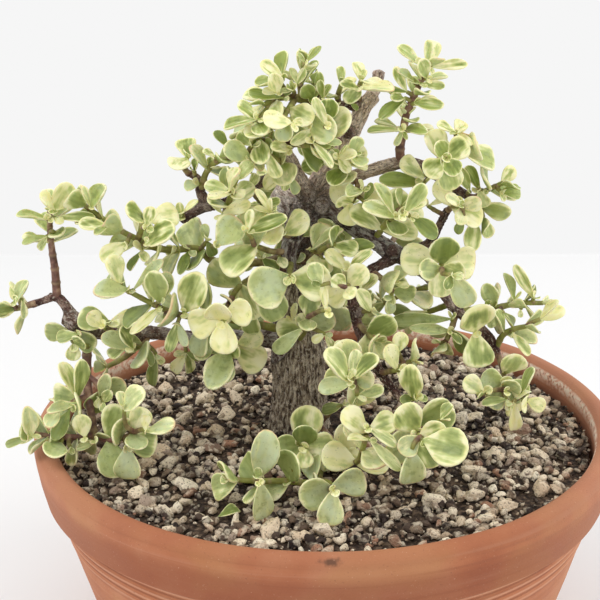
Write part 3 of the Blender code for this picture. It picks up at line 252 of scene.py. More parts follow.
# Each spray is one or more twigs; the later ones grow out of the earlier ones
SPRAYS = {
    # crown, on the limb that runs to the left from the leader
    "crown_left": [
        stem((318, 106, -3), (300, 99, -8), (287, 97, -11), (275, 99, -15), (263, 105, -19), first=0.78,
             size=16, roll=70, lean=50, thick=2, width=0.6, sky=0.6),
        stem((301, 99, -8), (301, 80, -11), (306, 62, -14), pairs=3, first=0.4, roll=20, lean=40, width=0.5,
             sky=0.3),
        stem((288, 97, -11), (279, 80, -17), pairs=1, first=0.9, size=14, roll=5, lean=52, width=0.55,
             sky=0.3),
        stem((296, 98, -9), (283, 117, -25), first=0.6, size=15, roll=40, lean=66, width=0.75, sky=0.3),
        stem((276, 99, -15), (257, 122, -23), pairs=1, first=0.9, size=17, roll=60, lean=62, width=0.6,
             sky=0.6)],
    "crown_mid": [
        stem((327, 107, 0), (319, 95, -5), (313, 84, -8), size=11.5, roll=60, lean=50, width=0.5, sky=0.3),
        stem((321, 98, -4), (309, 121, -21), pairs=1, first=0.95, size=14, roll=10)],
    "comb_right": [
        stem((339, 107, 2), (338, 96, 0), (341, 85, -2), size=11.5, roll=20, width=0.5, sky=0.3)],
    "young_top": [
        stem((361, 106, 7), (358, 93, 3), (361, 81, 0), first=0.72, size=14, roll=10, lean=76, young=1,
             width=0.6, sky=0.3)],
    "vee": [
        stem((343, 144, 5), (333, 138, -4), (325, 131, -12), (327, 121, -18), first=0.62, size=17, roll=10,
             lean=60)],
    "knuckle": [
        stem((284, 152, -4), (283, 140, -9), (282, 127, -14), size=14, roll=10, lean=66, thick=1.9),
        stem((283, 146, -7), (257, 138, -19), pairs=1, first=0.9, size=16, roll=40, width=0.65, sky=0.4),
        stem((284, 143, -8), (313, 146, -18), first=0.55, size=14.5, roll=50)],
    "inner_top": [stem((291, 167, -3), (279, 161, -11), (269, 155, -17), size=14.5, roll=60, lean=62)],
    "shelf": [
        stem((349, 178, 2), (341, 167, -6), (345, 158, -12), (354, 153, -17), pairs=3, first=0.3, roll=75)],
    # the upright shoot on the right limb
    "mast": [
        stem((401, 163, 0), (400, 149, -1), (403, 133, -2), (406, 116, -3), (411, 103, -4), (417, 90, -5),
             (423, 77, -6), (429, 65, -7), pairs=6, first=0.30, size=13.5, taper=0.1, roll=10, lean=66,
             thick=2.2, width=0.6, sky=0.5)],
    # the cluster at the right, seen end on, and what hangs round it
    "right_cluster": [
        stem((428, 170, 3), (436, 163, -6), (443, 160, -18), (446, 158, -30), pairs=3, first=0.62, size=14,
             roll=120, lean=78, young=0.4),
        stem((435, 164, -5), (449, 149, -8), (457, 136, -10), first=0.7, size=12, roll=20, young=1),
        stem((436, 163, -6), (468, 153, -13), pairs=1, first=0.95, size=15.5, roll=60, lean=56)],
    "right_twig": [
        stem((465, 195, 4), (475, 197, 3), (485, 191, 1), (503, 183, -4), first=0.6, size=15.5, roll=60,
             lean=50),
        stem((475, 197, 3), (480, 207, 0), (483, 217, -3), size=15.5, roll=10, lean=40, width=0.66)],
    "pale_right": [
        stem((447, 211, -6), (455, 205, -12), (462, 208, -17), size=14, roll=10, lean=64, young=0.8)],
    "mid_fan": [
        stem((375, 239, -9), (383, 227, -14), (392, 217, -18), (402, 206, -22), pairs=3, first=0.34,
             size=17, roll=15, lean=62, width=0.75)],
    "pale_hang": [
        stem((356, 177, 1), (358, 190, -5), (352, 202, -11), first=0.55, size=15, roll=15, lean=62,
             young=0.9)],
    # round the great limb
    "curled": [
        stem((430, 242, -9), (437, 254, -16), (441, 263, -24), (442, 269, -32), pairs=3, first=0.55,
             size=17.5, roll=135, lean=80, thick=1.3, young=0.5)],
    "big_round": [
        stem((471, 321, -14), (474, 327, -20), (475, 331, -24), pairs=1, first=0.98, size=18.5, roll=85,
             lean=50)],
    "right_end": [
        stem((459, 311, -15), (483, 310, -13), (500, 307, -11), (519, 303, -9), (543, 303, -8), pairs=4,
             first=0.36, size=14, roll=5, lean=60, thick=1.9, width=0.55, sky=0.2)],
    "right_end_low": [
        stem((496, 348, -13), (503, 335, -17), (514, 329, -20), (527, 326, -22), first=0.5, size=15.5,
             roll=15, lean=52, width=0.55)],
    "right_rosette": [
        stem((497, 352, -14), (502, 366, -20), (504, 379, -29), (504, 389, -38), pairs=3, first=0.5,
             size=15, roll=40, lean=68),
        stem((504, 378, -28), (517, 392, -36), (527, 400, -42), size=14, roll=30, lean=60, young=0.9)],
    "mid_hang": [
        stem((457, 311, -15), (451, 330, -16), (446, 341, -17), first=0.6, size=14.5, roll=10, lean=62)],
    "long_leaves": [
        stem((450, 304, -15), (431, 311, -6), (413, 316, 2), first=0.55, size=18, roll=70, lean=42,
             width=0.5)],
    "back_green": [
        stem((436, 285, -15), (420, 289, -2), (402, 295, 8), (384, 303, 14), first=0.55, size=16, roll=30,
             lean=52, width=0.66)],
    "under_limb": [stem((371, 270, -18), (383, 280, -20), (392, 290, -22), size=15, roll=75, lean=62)],
    # the middle, in front of the trunk
    "centre_pale": [
        stem((356, 283, -21), (349, 285, -28), (346, 287, -36), first=0.6, size=12.5, roll=40, lean=72,
             young=1)],
    "centre_pair": [
        stem((301, 262, 0), (312, 256, -10), (323, 249, -17), (335, 244, -22), first=0.55, size=15.5,
             roll=70)],
    "cream_front": [
        stem((357, 322, -24), (366, 332, -31), (374, 341, -37), first=0.6, size=15.5, roll=20, lean=64,
             young=0.6)],
    "star": [
        stem((381, 373, -37), (391, 371, -42), (399, 370, -46), pairs=1, first=0.9, size=12.5, roll=30,
             lean=66, young=1, width=0.7),
        stem((391, 371, -42), (411, 361, -39), pairs=1, first=0.95, size=15.5, roll=70, lean=70,
             width=0.7)],
    "trefoil": [
        stem((366, 352, -29), (358, 364, -38), (352, 376, -50), first=0.78, size=15.5, taper=0.15, roll=130,
             lean=80, young=0.6)],
    "trunk_front": [
        stem((300, 338, -6), (306, 328, -18), (308, 317, -26), first=0.6, size=16, roll=5, lean=70,
             young=0.5)],
    "big_centre": [
        stem((291, 262, -11), (290, 269, -20), (290, 277, -28), pairs=1, first=0.95, size=20, lean=48)],
    "left_big": [
        stem((289, 252, -10), (270, 251, -16), (254, 245, -24), pairs=1, first=0.96, size=18.5, lean=60)],
    "cream_leaf": [
        stem((294, 237, -6), (281, 233, -16), (271, 227, -24), size=16.5, roll=20, lean=66, young=0.6)],
    "left_group": [
        stem((288, 268, -10), (256, 276, -14), (238, 288, -20), (229, 303, -29), first=0.66, size=17,
             roll=20, lean=66),
        stem((232, 298, -26), (225, 313, -36), (223, 321, -44), first=0.6, size=16.5, taper=0.1, roll=35,
             lean=78, young=1)],
    "left_low": [stem((239, 338, 0), (233, 349, -10), (229, 358, -20), size=18, roll=15, lean=76)],
    # upper left
    "left_fan": [
        stem((222, 204, -8), (228, 207, -15), (231, 192, -21), (237, 178, -25), pairs=3, first=0.35,
             size=15, roll=35, lean=52, young=0.5, width=0.66)],
    "upper_left": [
        stem((201, 190, -8), (206, 173, -11), (216, 162, -13), (234, 158, -15), (250, 155, -16), pairs=4,
             first=0.36, size=15.5, roll=5, lean=64, width=0.7, sky=0.25)],
    "stub_leaves": [
        stem((189, 174, -6), (184, 167, -10), (187, 158, -13), pairs=1, first=0.98, size=13.5, roll=20,
             lean=72)],
    # the long arm to the left
    "long_arm": [
        stem((289, 256, -10), (262, 262, -8), (217, 262, -8), (197, 249, -12), (170, 250, -16),
             (150, 246, -19), (137, 239, -21), (115, 227, -22), (80, 202, -22), pairs=7, first=0.42,
             size=16.5, roll=40, lean=60, thick=2.1),
        stem((138, 240, -21), (141, 230, -27), (146, 220, -31), pairs=1, first=0.98, size=15, roll=10)],
    "green_twig": [
        stem((284, 330, -2), (245, 322, -12), (213, 318, -20), (185, 316, -25), (159, 307, -28),
             (121, 287, -31), pairs=4, first=0.5, size=19, taper=0.12, roll=5, lean=72, thick=1.9)],
    # far left
    "far_up": [
        stem((57, 296, -11), (55, 270, -12), (52, 250, -13), (50, 230, -14), (50, 208, -16), pairs=4,
             first=0.6, size=15, roll=10, lean=68, thick=2, width=0.66, sky=0.3)],
    "far_end": [
        stem((36, 303, -12), (18, 308, -13), (3, 310, -14), pairs=3, first=0.25, size=14, roll=10, lean=54,
             thick=1.7, width=0.6)],
    "knob_leaves": [stem((76, 323, -12), (71, 335, -17), (74, 343, -22), roll=10, lean=68)],
    "arm_top": [
        stem((112, 333, -9), (109, 327, -15), (109, 322, -20), pairs=1, first=0.9, size=15, lean=76,
             young=0.5)],
    "arm_green": [
        stem((150, 332, -5), (142, 346, -11), (127, 345, -17), first=0.5, size=15.5, roll=20, lean=56)],
    "back_drop": [
        stem((143, 333, -6), (133, 350, 2), (118, 361, 4), (106, 367, 5), pairs=1, first=0.97, size=12,
             roll=40, thick=1.9)],
    # the twig that hangs at the left, down to the soil
    "drop": [
        stem((88, 331, -11), (87, 352, -16), (87, 376, -22), (89, 400, -29), (95, 438, -38), pairs=1,
             first=0.99, size=12, roll=60, thick=2.3, tip=1.7),
        stem((88, 396, -28), (77, 400, -31), (69, 404, -34), first=0.5, size=16, roll=70, lean=60),
        stem((94, 435, -37), (75, 437, -41), (54, 436, -43), (34, 434, -44), pairs=4, first=0.3, size=14.5,
             roll=10),
        stem((94, 436, -37), (109, 440, -43), (123, 438, -48), (134, 432, -52), pairs=3, first=0.36,
             size=18, lean=66),
        stem((87, 376, -22), (96, 382, -25), (101, 391, -28), pairs=1, first=0.99, roll=30)],
    # low in front of the trunk
    "front_rosette": [
        stem((302, 424, -6), (303, 438, -26), (304, 446, -42), (304, 447, -55), pairs=3, first=0.6, size=18,
             taper=0.35, roll=90, lean=78)],
    "low_runner": [
        stem((306, 418, -6), (319, 455, -38), (316, 481, -62), (283, 481, -70), (256, 481, -73),
             (230, 479, -75), pairs=4, first=0.61, size=18, taper=0.2, roll=90, lean=68, thick=1.8),
        stem((317, 481, -62), (329, 483, -69), (331, 487, -73), pairs=1, first=0.97, size=17.5, roll=90,
             lean=68)],
    "cream_upright": [
        stem((318, 424, -4), (338, 446, -34), (355, 462, -54), (362, 451, -60), (368, 427, -64), pairs=4,
             first=0.56, size=17, taper=0.15, roll=90, lean=78, young=0.8)],
    "right_low_rosette": [
        stem((404, 402, -49), (411, 416, -56), (417, 429, -65), (420, 437, -77), pairs=3, first=0.5,
             size=19.5, taper=0.35, roll=10, lean=78)],
    # behind the trunk
    "back_high": [stem((339, 148, 7), (329, 149, 26), (314, 143, 44), size=16, roll=20)],
    "back_right": [stem((388, 249, -9), (396, 236, 12), (408, 222, 36), size=17, roll=40)],
    "back_centre": [stem((306, 222, 10), (320, 230, 34), (338, 242, 58), pairs=3, size=17, roll=20)],
    "back_left": [stem((303, 240, 12), (280, 238, 34), (250, 229, 58), pairs=3, size=17, roll=60)],
    "back_low_left": [stem((298, 302, 12), (274, 310, 36), (244, 308, 64), size=18, roll=20)],
    "back_low_right": [stem((299, 298, 12), (326, 304, 38), (362, 302, 68), pairs=3, size=17, roll=50)],
}
FALLEN_LEAF = (219, 526, -84)       # where a dropped leaf lies, in the picture
FALLEN_LIFT = 1.9 * MM              # its root's height over the soil
FALLEN_LENGTH = 10.5 * MM


def tuft(node, *tips, near=7, young=0.22):
    """A short twig between the sprays: where it ends in the picture, and where its leaves' tips are.

    Each tip is (across, down, width as a share of the leaf's length), and near is how far before the
    nearest limb the twig ends, in mm.
    """
    return {"node": node, "tips": tips, "near": near, "young": young, "width": TUFT_WIDTH, "sky": TUFT_SKY}


# What grows between the frame's own sprays, seen in the finished bush only
TUFTS = {
    "crown_tufts": [
        tuft((283, 79), (262, 62, 0.5), young=0.6),
        tuft((279, 93), (270, 69, 0.5), (262, 91, 0.5), young=0.8),
        tuft((293, 90), (276, 84, 0.45), (284, 96, 0.6)), tuft((297, 84), (291, 68, 0.5), (305, 68, 0.45)),
        tuft((305, 63), (321, 46, 0.3), (298, 53, 0.4)), tuft((284, 98), (246, 97, 0.3), (262, 112, 0.45)),
        tuft((258, 119), (239, 103, 0.7), (222, 126, 0.36), young=0.5),
        tuft((292, 122), (265, 118, 0.8), young=0.6), tuft((271, 131), (245, 133, 0.65), near=10),
        tuft((290, 148), (254, 146, 0.36), (251, 157, 0.3), young=0.7),
        tuft((267, 152), (279, 178, 0.5), young=0.7),
        tuft((316, 127), (288, 118, 0.4), (286, 138, 0.38), young=0.6),
        tuft((327, 126), (314, 98, 0.36), near=12, young=0.8), tuft((317, 112), (301, 115, 0.7), near=3),
        tuft((328, 150), (302, 157, 0.66), (305, 140, 0.4)), tuft((313, 142), (333, 167, 0.36), young=0.8),
        tuft((318, 140), (342, 143, 0.34)), tuft((326, 162), (302, 168, 0.6)),
        tuft((345, 168), (330, 186, 0.7)), tuft((284, 171), (263, 188, 0.6), (285, 191, 0.5), young=0.6),
        tuft((290, 176), (297, 194, 0.6)), tuft((313, 99), (302, 84, 0.8), (315, 83, 0.5), near=4),
        tuft((323, 98), (320, 80, 0.5), (330, 84, 0.6)),
        tuft((336, 98), (333, 81, 0.6), (343, 82, 0.6), near=4),
        tuft((337, 104), (320, 99, 0.6), (326, 112, 0.6)),
        tuft((350, 102), (348, 88, 0.7), (358, 110, 0.6), near=4),
        tuft((358, 88), (339, 82, 0.4), (393, 88, 0.3)),
        tuft((338, 158), (366, 151, 0.4), (368, 168, 0.34), (350, 172, 0.6), young=0.7)],
    "upper_left_tufts": [
        tuft((216, 157), (212, 139, 0.4), (203, 150, 0.6), young=0.6), tuft((228, 147), (214, 131, 0.6)),
        tuft((252, 146), (238, 133, 0.7)), tuft((250, 157), (221, 146, 0.6)),
        tuft((194, 171), (197, 156, 0.6)), tuft((199, 184), (184, 187, 0.8), near=3),
        tuft((182, 213), (197, 200, 0.35), (163, 213, 0.3), young=0.8),
        tuft((249, 189), (248, 165, 0.72), (258, 172, 0.5), young=0.5),
        tuft((229, 191), (241, 161, 0.32), young=0.7),
        tuft((232, 193), (204, 184, 0.5), (208, 196, 0.4), young=0.7),
        tuft((228, 201), (246, 188, 0.42), young=0.7),
        tuft((223, 214), (212, 204, 0.45), (214, 219, 0.45), (231, 196, 0.4), (250, 203, 0.5), young=1),
        tuft((272, 213), (257, 190, 0.3), (268, 194, 0.3), (254, 207, 0.4), young=0.9),
        tuft((247, 232), (262, 208, 0.6), (284, 217, 0.36), (252, 208, 0.4), young=0.7),
        tuft((216, 246), (238, 218, 0.85), near=16, young=0),
        tuft((207, 241), (212, 258, 0.7), (204, 224, 0.6)),
        tuft((262, 205), (243, 216, 0.6), (280, 200, 0.5), young=0.7), tuft((181, 218), (179, 203, 0.5)),
        tuft((262, 258), (278, 272, 0.6), near=4), tuft((279, 257), (290, 274, 0.5), near=4)],
    "left_tufts": [
        tuft((146, 228), (121, 205, 0.85), (152, 207, 0.62), near=6),
        tuft((146, 243), (176, 225, 0.55), near=10), tuft((127, 243), (101, 260, 0.6)),
        tuft((142, 250), (128, 270, 0.36), (147, 264, 0.6), near=3),
        tuft((190, 250), (179, 274, 0.32), (198, 262, 0.5), near=3),
        tuft((107, 226), (78, 223, 0.5), (90, 237, 0.36)),
        tuft((91, 207), (108, 179, 0.42), (83, 186, 0.35), near=3),
        tuft((121, 283), (109, 257, 0.7), young=0.7),
        tuft((127, 289), (88, 292, 0.42), (101, 276, 0.45), near=9),
        tuft((133, 290), (162, 260, 0.25), near=4),
        tuft((160, 302), (152, 272, 0.62), (168, 272, 0.5), near=5),
        tuft((184, 312), (199, 275, 0.6), near=6), tuft((160, 308), (131, 333, 0.28), young=0.8),
        tuft((165, 318), (156, 350, 0.62), near=8),
        tuft((178, 322), (168, 352, 0.4), (186, 346, 0.4), near=6),
        tuft((133, 348), (102, 336, 0.5), (120, 326, 0.5)),
        tuft((146, 345), (118, 376, 0.3), (152, 366, 0.4), near=3),
        tuft((156, 354), (151, 388, 0.32), near=2),
        tuft((186, 352), (173, 373, 0.6), (190, 374, 0.5), (200, 360, 0.5), near=2)],
    "far_left_tufts": [
        tuft((55, 210), (70, 184, 0.72), (38, 191, 0.7), (84, 200, 0.36), young=0.7),
        tuft((49, 219), (17, 213, 0.28)), tuft((55, 218), (94, 217, 0.24)),
        tuft((47, 236), (22, 242, 0.36), (35, 249, 0.5)), tuft((54, 232), (77, 226, 0.5)),
        tuft((14, 303), (27, 281, 0.42)), tuft((22, 299), (24, 319, 0.36)),
        tuft((78, 334), (56, 338, 0.62)), tuft((86, 345), (63, 352, 0.6), near=10),
        tuft((104, 327), (88, 314, 0.8), near=9, young=0.5),
        tuft((125, 327), (131, 312, 0.8), near=9, young=0.5)],
    "low_left_tufts": [
        tuft((77, 398), (62, 362, 0.42), (82, 360, 0.36), (70, 376, 0.4), near=3, young=0.9),
        tuft((99, 397), (109, 370, 0.34), near=3, young=0.7), tuft((76, 403), (44, 413, 0.3)),
        tuft((58, 409), (42, 436, 0.42)), tuft((70, 409), (53, 441, 0.42)),
        tuft((80, 403), (67, 434, 0.36)), tuft((85, 437), (79, 415, 0.8)),
        tuft((31, 436), (27, 406, 0.42), (11, 411, 0.5), (5, 446, 0.3), near=3),
        tuft((61, 443), (47, 463, 0.75), near=6), tuft((70, 447), (80, 475, 0.62), near=6),
        tuft((124, 410), (142, 389, 0.8), (119, 391, 0.6), near=5), tuft((104, 402), (111, 390, 0.6)),
        tuft((145, 431), (174, 424, 0.62)), tuft((127, 446), (128, 480, 0.85)),
        tuft((95, 441), (77, 449, 0.4))],
    "mast_tufts": [
        tuft((422, 66), (399, 45, 0.42), near=2), tuft((432, 67), (468, 64, 0.32), near=2, young=0.6),
        tuft((421, 84), (445, 86, 0.42), (408, 78, 0.5), near=2),
        tuft((414, 103), (442, 105, 0.36), near=2), tuft((414, 81), (399, 70, 0.45), near=3),
        tuft((407, 92), (395, 67, 0.4), (379, 91, 0.3), near=2),
        tuft((405, 98), (379, 117, 0.38), (389, 98, 0.6), near=3),
        tuft((403, 130), (367, 130, 0.24), (395, 146, 0.4)), tuft((405, 129), (437, 132, 0.3), near=2),
        tuft((427, 78), (421, 57, 0.55), near=3)],
    "right_tufts": [
        tuft((457, 133), (437, 123, 0.5), (470, 121, 0.5), (480, 138, 0.36), near=6, young=0.9),
        tuft((446, 152), (416, 139, 0.66), near=6, young=0.5), tuft((424, 176), (402, 162, 0.8), near=4),
        tuft((480, 190), (467, 166, 0.45), near=2), tuft((470, 192), (459, 169, 0.42), near=6, young=0.5),
        tuft((479, 190), (486, 208, 0.7), near=6), tuft((488, 190), (502, 164, 0.6), near=3),
        tuft((500, 191), (524, 186, 0.8), near=3),
        tuft((424, 183), (380, 179, 0.32), (430, 178, 0.4), near=2),
        tuft((395, 217), (377, 183, 0.32), (364, 204, 0.5), near=12),
        tuft((404, 214), (425, 184, 0.45), near=18), tuft((428, 206), (453, 202, 0.32), near=3, young=0.8),
        tuft((462, 206), (446, 195, 0.5), near=6, young=0.8), tuft((411, 217), (437, 237, 0.5), near=8),
        tuft((464, 219), (457, 234, 0.6), near=2), tuft((475, 220), (471, 252, 0.5), near=2),
        tuft((363, 190), (332, 200, 0.42), near=9, young=0.9), tuft((364, 201), (372, 183, 0.45), near=5)],
    "right_low_tufts": [
        tuft((394, 283), (383, 269, 0.7), (406, 265, 0.7), (409, 286, 0.5), near=3),
        tuft((391, 296), (372, 283, 0.7), (380, 303, 0.6), near=3),
        tuft((411, 292), (441, 313, 0.5), near=3), tuft((452, 319), (391, 321, 0.26), near=2, young=0),
        tuft((371, 311), (390, 322, 0.34), (358, 290, 0.5), young=0.8),
        tuft((450, 331), (411, 328, 0.22), (461, 343, 0.4), near=2),
        tuft((398, 352), (408, 331, 0.8), near=2), tuft((440, 343), (436, 374, 0.6), near=3),
        tuft((452, 275), (470, 307, 0.68), near=14, young=0.4), tuft((495, 306), (485, 285, 0.55), near=2),
        tuft((487, 306), (493, 328, 0.5), near=4, young=0.5),
        tuft((514, 300), (506, 273, 0.32), (501, 307, 0.45), near=2),
        tuft((534, 298), (515, 266, 0.27), near=2),
        tuft((540, 319), (565, 309, 0.62), (558, 300, 0.3), near=2, young=0.5),
        tuft((503, 312), (520, 332, 0.4)), tuft((521, 309), (559, 344, 0.24), near=3),
        tuft((512, 333), (529, 355, 0.36), near=2), tuft((506, 372), (522, 353, 0.7), near=3),
        tuft((485, 393), (465, 379, 0.7), near=4, young=0.5), tuft((506, 391), (514, 360, 0.42), near=4),
        tuft((522, 393), (532, 368, 0.36), near=3), tuft((506, 399), (482, 403, 0.36), near=3),
        tuft((523, 401), (549, 408, 0.74), near=3, young=0.9),
        tuft((514, 401), (514, 431, 0.4), near=4, young=0.7)],
    "middle_tufts": [
        tuft((349, 270), (326, 250, 0.5), (371, 251, 0.34), near=6, young=0.8),
        tuft((321, 285), (312, 263, 0.7)), tuft((326, 311), (323, 286, 0.36), near=16, young=0.8),
        tuft((303, 236), (317, 232, 0.7), near=2),
        tuft((336, 229), (318, 220, 0.5), (345, 240, 0.4), near=2),
        tuft((311, 250), (342, 228, 0.3), near=2),
        tuft((323, 260), (373, 243, 0.26), (330, 242, 0.5), near=2),
        tuft((297, 262), (313, 247, 0.5), near=3),
        tuft((361, 291), (376, 276, 0.6), (374, 300, 0.5), near=2),
        tuft((256, 276), (280, 320, 0.66), near=14), tuft((246, 306), (253, 335, 0.6), near=8),
        tuft((303, 328), (273, 353, 0.42), near=16),
        tuft((325, 334), (334, 350, 0.45), (312, 342, 0.6), near=12, young=0.5),
        tuft((352, 383), (318, 389, 0.5)), tuft((349, 380), (326, 352, 0.62), near=14, young=0.6),
        tuft((353, 379), (377, 357, 0.5), (357, 349, 0.5)), tuft((345, 356), (337, 341, 0.6), near=3),
        tuft((208, 336), (197, 362, 0.6), near=6),
        tuft((229, 351), (208, 391, 0.5), (234, 373, 0.5), (205, 367, 0.5), near=6),
        tuft((237, 344), (262, 336, 0.7)),
        tuft((399, 367), (391, 351, 0.5), (409, 376, 0.4), near=3, young=0.8),
        tuft((414, 399), (411, 366, 0.56)),
        tuft((411, 395), (428, 400, 0.45), (400, 399, 0.5), near=3, young=0.5),
        tuft((292, 322), (296, 303, 0.36))],
    "low_tufts": [
        tuft((258, 477), (268, 432, 0.56), near=2, young=0),
        tuft((260, 482), (262, 522, 0.52), near=18, young=0.1),
        tuft((333, 490), (328, 526, 0.76), near=16, young=0),
        tuft((293, 469), (285, 490, 0.6), (274, 467, 0.5), near=5),
        tuft((342, 405), (321, 411, 0.55), near=2), tuft((361, 437), (341, 405, 0.42), near=4, young=0.9),
        tuft((357, 396), (384, 388, 0.5), near=3), tuft((440, 420), (452, 404, 0.6), near=2),
        tuft((423, 440), (464, 452, 0.72), near=2, young=0), tuft((412, 449), (411, 485, 0.78), near=3),
        tuft((370, 440), (400, 470, 0.3), (347, 438, 0.4), near=8, young=0.8),
        tuft((368, 428), (396, 446, 0.36)), tuft((340, 457), (319, 472, 0.36), near=2)],
}


def rear(*route, pairs=3, thick=1.1, **ways):
    """A thin twig behind the trunk, laid out as a spray's twigs are."""
    return stem(*route, pairs=pairs, thick=thick, tip=0.8, **ways)


# The rear twigs, which are seen in the finished bush only, as the tufts are
REAR = {
    "rear_tufts": [
        rear((320, 230, 34), (306, 216, 42), (292, 206, 50)),
        rear((332, 237, 48), (336, 222, 56), (344, 206, 60), roll=30),
        rear((280, 238, 34), (274, 222, 42), (262, 210, 46), roll=50),
        rear((263, 233, 47), (256, 246, 54), (246, 256, 60), roll=10),
        rear((274, 310, 36), (268, 294, 44), (256, 284, 50), roll=20),
        rear((257, 309, 52), (252, 322, 60), (240, 326, 64), pairs=2, roll=70),
        rear((326, 304, 38), (334, 288, 46), (346, 278, 52), roll=40),
        rear((345, 303, 54), (352, 314, 62), (360, 320, 68), pairs=2),
        rear((329, 149, 26), (332, 134, 34), (326, 122, 42), roll=60, size=12),
        rear((300, 262, 16), (306, 270, 36), (310, 276, 54), pairs=4, first=0.3, roll=15, thick=1.2),
        rear((298, 330, 15), (290, 326, 36), (284, 322, 52), pairs=4, first=0.3, roll=45, thick=1.2),
        rear((284, 198, 18), (276, 188, 32), (270, 178, 44), roll=25, thick=1.2),
        rear((345, 138, 8), (340, 124, 24), (330, 112, 36), roll=35, size=12),
        rear((318, 180, 9), (326, 172, 28), (334, 166, 42), roll=5),
        rear((305, 240, 16), (292, 232, 32), (284, 222, 48), roll=65, thick=1.2)],
}
# Lean towards the viewpoint, turn in degrees and size that a tuft's leaf tries, in this order
WAYS_TUFT = [(0, 0, 1), (15, 0, 1), (-15, 0, 1), (30, 0, 1), (0, 8, 0.96), (0, -8, 0.96), (45, 0, 0.94),
             (-28, 0, 0.94), (20, 14, 0.92), (20, -14, 0.92), (58, 0, 0.9), (-12, 16, 0.88),
             (-12, -16, 0.88), (-42, 0, 0.88), (30, 24, 0.8), (30, -24, 0.8), (0, 0, 0.75), (40, 0, 0.7)]


def sight_frame():
    """The viewpoint and its forward, right and up directions."""
    eye = Vector((0, -EYE_DISTANCE * math.cos(EYE_RISE), BOWL_HEIGHT + EYE_DISTANCE * math.sin(EYE_RISE)))
    forward = Vector((-math.sin(LOOK_LEFT) * math.cos(LOOK_DOWN), math.cos(LOOK_LEFT) * math.cos(LOOK_DOWN),
                      -math.sin(LOOK_DOWN)))
    level = forward.cross(Vector((0, 0, 1))).normalized()
    upright = level.cross(forward)
    right = math.cos(-HEAD_TILT) * level + math.sin(-HEAD_TILT) * upright
    return eye, forward, right, right.cross(forward)


EYE, FORWARD, RIGHT, UP = sight_frame()


def sight_line(across, down):
    """The way from the viewpoint through a place in the picture."""
    return FORWARD + RIGHT * ((across - PICTURE / 2) / FOCAL) + UP * ((PICTURE / 2 - down) / FOCAL)


def seen_at(across, down, depth):
    """The point at a depth behind the bowl's axis that shows at a place in the picture."""
    ray = sight_line(across, down)
    return EYE + ray * ((depth * MM - EYE.y) / ray.y)


def smooth_path(points, per_span):
    """Points along a smooth curve through the given vectors."""
    ends = [2 * points[0] - points[1]] + list(points) + [2 * points[-1] - points[-2]]
    path = []
    for before, start, end, after in zip(ends, ends[1:], ends[2:], ends[3:]):
        for step in range(per_span):
            t = step / per_span
            path.append(0.5 * (2 * start + (end - before) * t
                               + (2 * before - 5 * start + 4 * end - after) * t ** 2
                               + (3 * start - before - 3 * end + after) * t ** 3))
    return path + [points[-1].copy()]


def wood_path(points):
    """A limb's smooth route with its radius in the fourth coordinate."""
    return smooth_path([Vector((*seen_at(across, down, depth), radius * MM))
                        for across, down, depth, radius in points], 1)


def stem_path(twig):
    """A twig's smooth route with its radius in the fourth coordinate."""
    path = smooth_path([seen_at(*point) for point in twig["route"]], 1)
    last = len(path) - 1
    radii = [(twig["thick"] + (twig["tip"] - twig["thick"]) * step / last) * MM for step in range(last + 1)]
    return [Vector((*point, radius)) for point, radius in zip(path, radii)]


def along_path(path, share):
    """The place and the direction at a share of a route's length."""
    spans = [(end - start).to_3d().length for start, end in zip(path, path[1:])]
    left = share * sum(spans)
    for start, end, span in zip(path, path[1:], spans):
        if left <= span or end is path[-1]:
            break
        left -= span
    ahead = (end - start).to_3d()
    return start.to_3d() + ahead * min(left / span, 1), ahead.normalized()


LEAF_RING = LEAF_EDGE + [(along, -across) for along, across in reversed(LEAF_EDGE[1:])]


def leaf_point(leaf, along, across, height):
    """A leaf's point in space from shares of its length, half width and thickness."""
    side = leaf["face"].cross(leaf["line"])
    lift = (LEAF_CUP * across ** 2 - LEAF_ARCH * along ** 2) * leaf["length"]
    return (leaf["root"] + leaf["line"] * (along - LEAF_SUNK) * leaf["length"]
            + side * across * leaf["width"] / 2 * leaf["length"]
            + leaf["face"] * (lift + height * LEAF_THICKNESS / 2 * leaf["length"]))


def tube_ghost(path, swell):
    """A tube's six-sided test surface: a tenth and a margin wider than the tube."""
    corners = []
    for number, point in enumerate(path):
        ahead = (path[min(number + 1, len(path) - 1)] - path[max(number - 1, 0)]).to_3d().normalized()
        side = ahead.orthogonal().normalized()
        lift = ahead.cross(side)
        for turn in (math.pi * corner / 3 for corner in range(6)):
            out = side * math.cos(turn) + lift * math.sin(turn)
            corners.append(point.to_3d() + out * (point.w * 1.1 + swell))
    walls = [(ring + corner, ring + (corner + 1) % 6, ring + 6 + (corner + 1) % 6, ring + 6 + corner)
             for ring in range(0, len(corners) - 6, 6) for corner in range(6)]
    ends = [tuple(range(6)), tuple(range(len(corners) - 6, len(corners)))]
    return BVHTree.FromPolygons(corners, walls + ends)


def leaf_ghost(leaf, start):
    """A leaf's test surface, a little larger than the leaf, from a share of its length to its tip."""
    sides = len(LEAF_RING)
    rim = [leaf_point(leaf, max(along * 1.04, start), across * 1.1, 0) for along, across in LEAF_RING]
    poles = [leaf_point(leaf, LEAF_FAT, 0, height) for height in (-1.6, 1.6)]
    skin = [(step, (step + 1) % sides, sides + pole) for step in range(sides) for pole in (0, 1)]
    return BVHTree.FromPolygons(rim + poles, skin)


def mound_height(out):
    """Height of the soil without its lumps at a distance from the axis, a little higher in the middle."""
    return SOIL_LEVEL + SOIL_MOUND * max(0, 1 - (out / (RIM_RADIUS - RIM_THICKNESS)) ** 2) ** 2


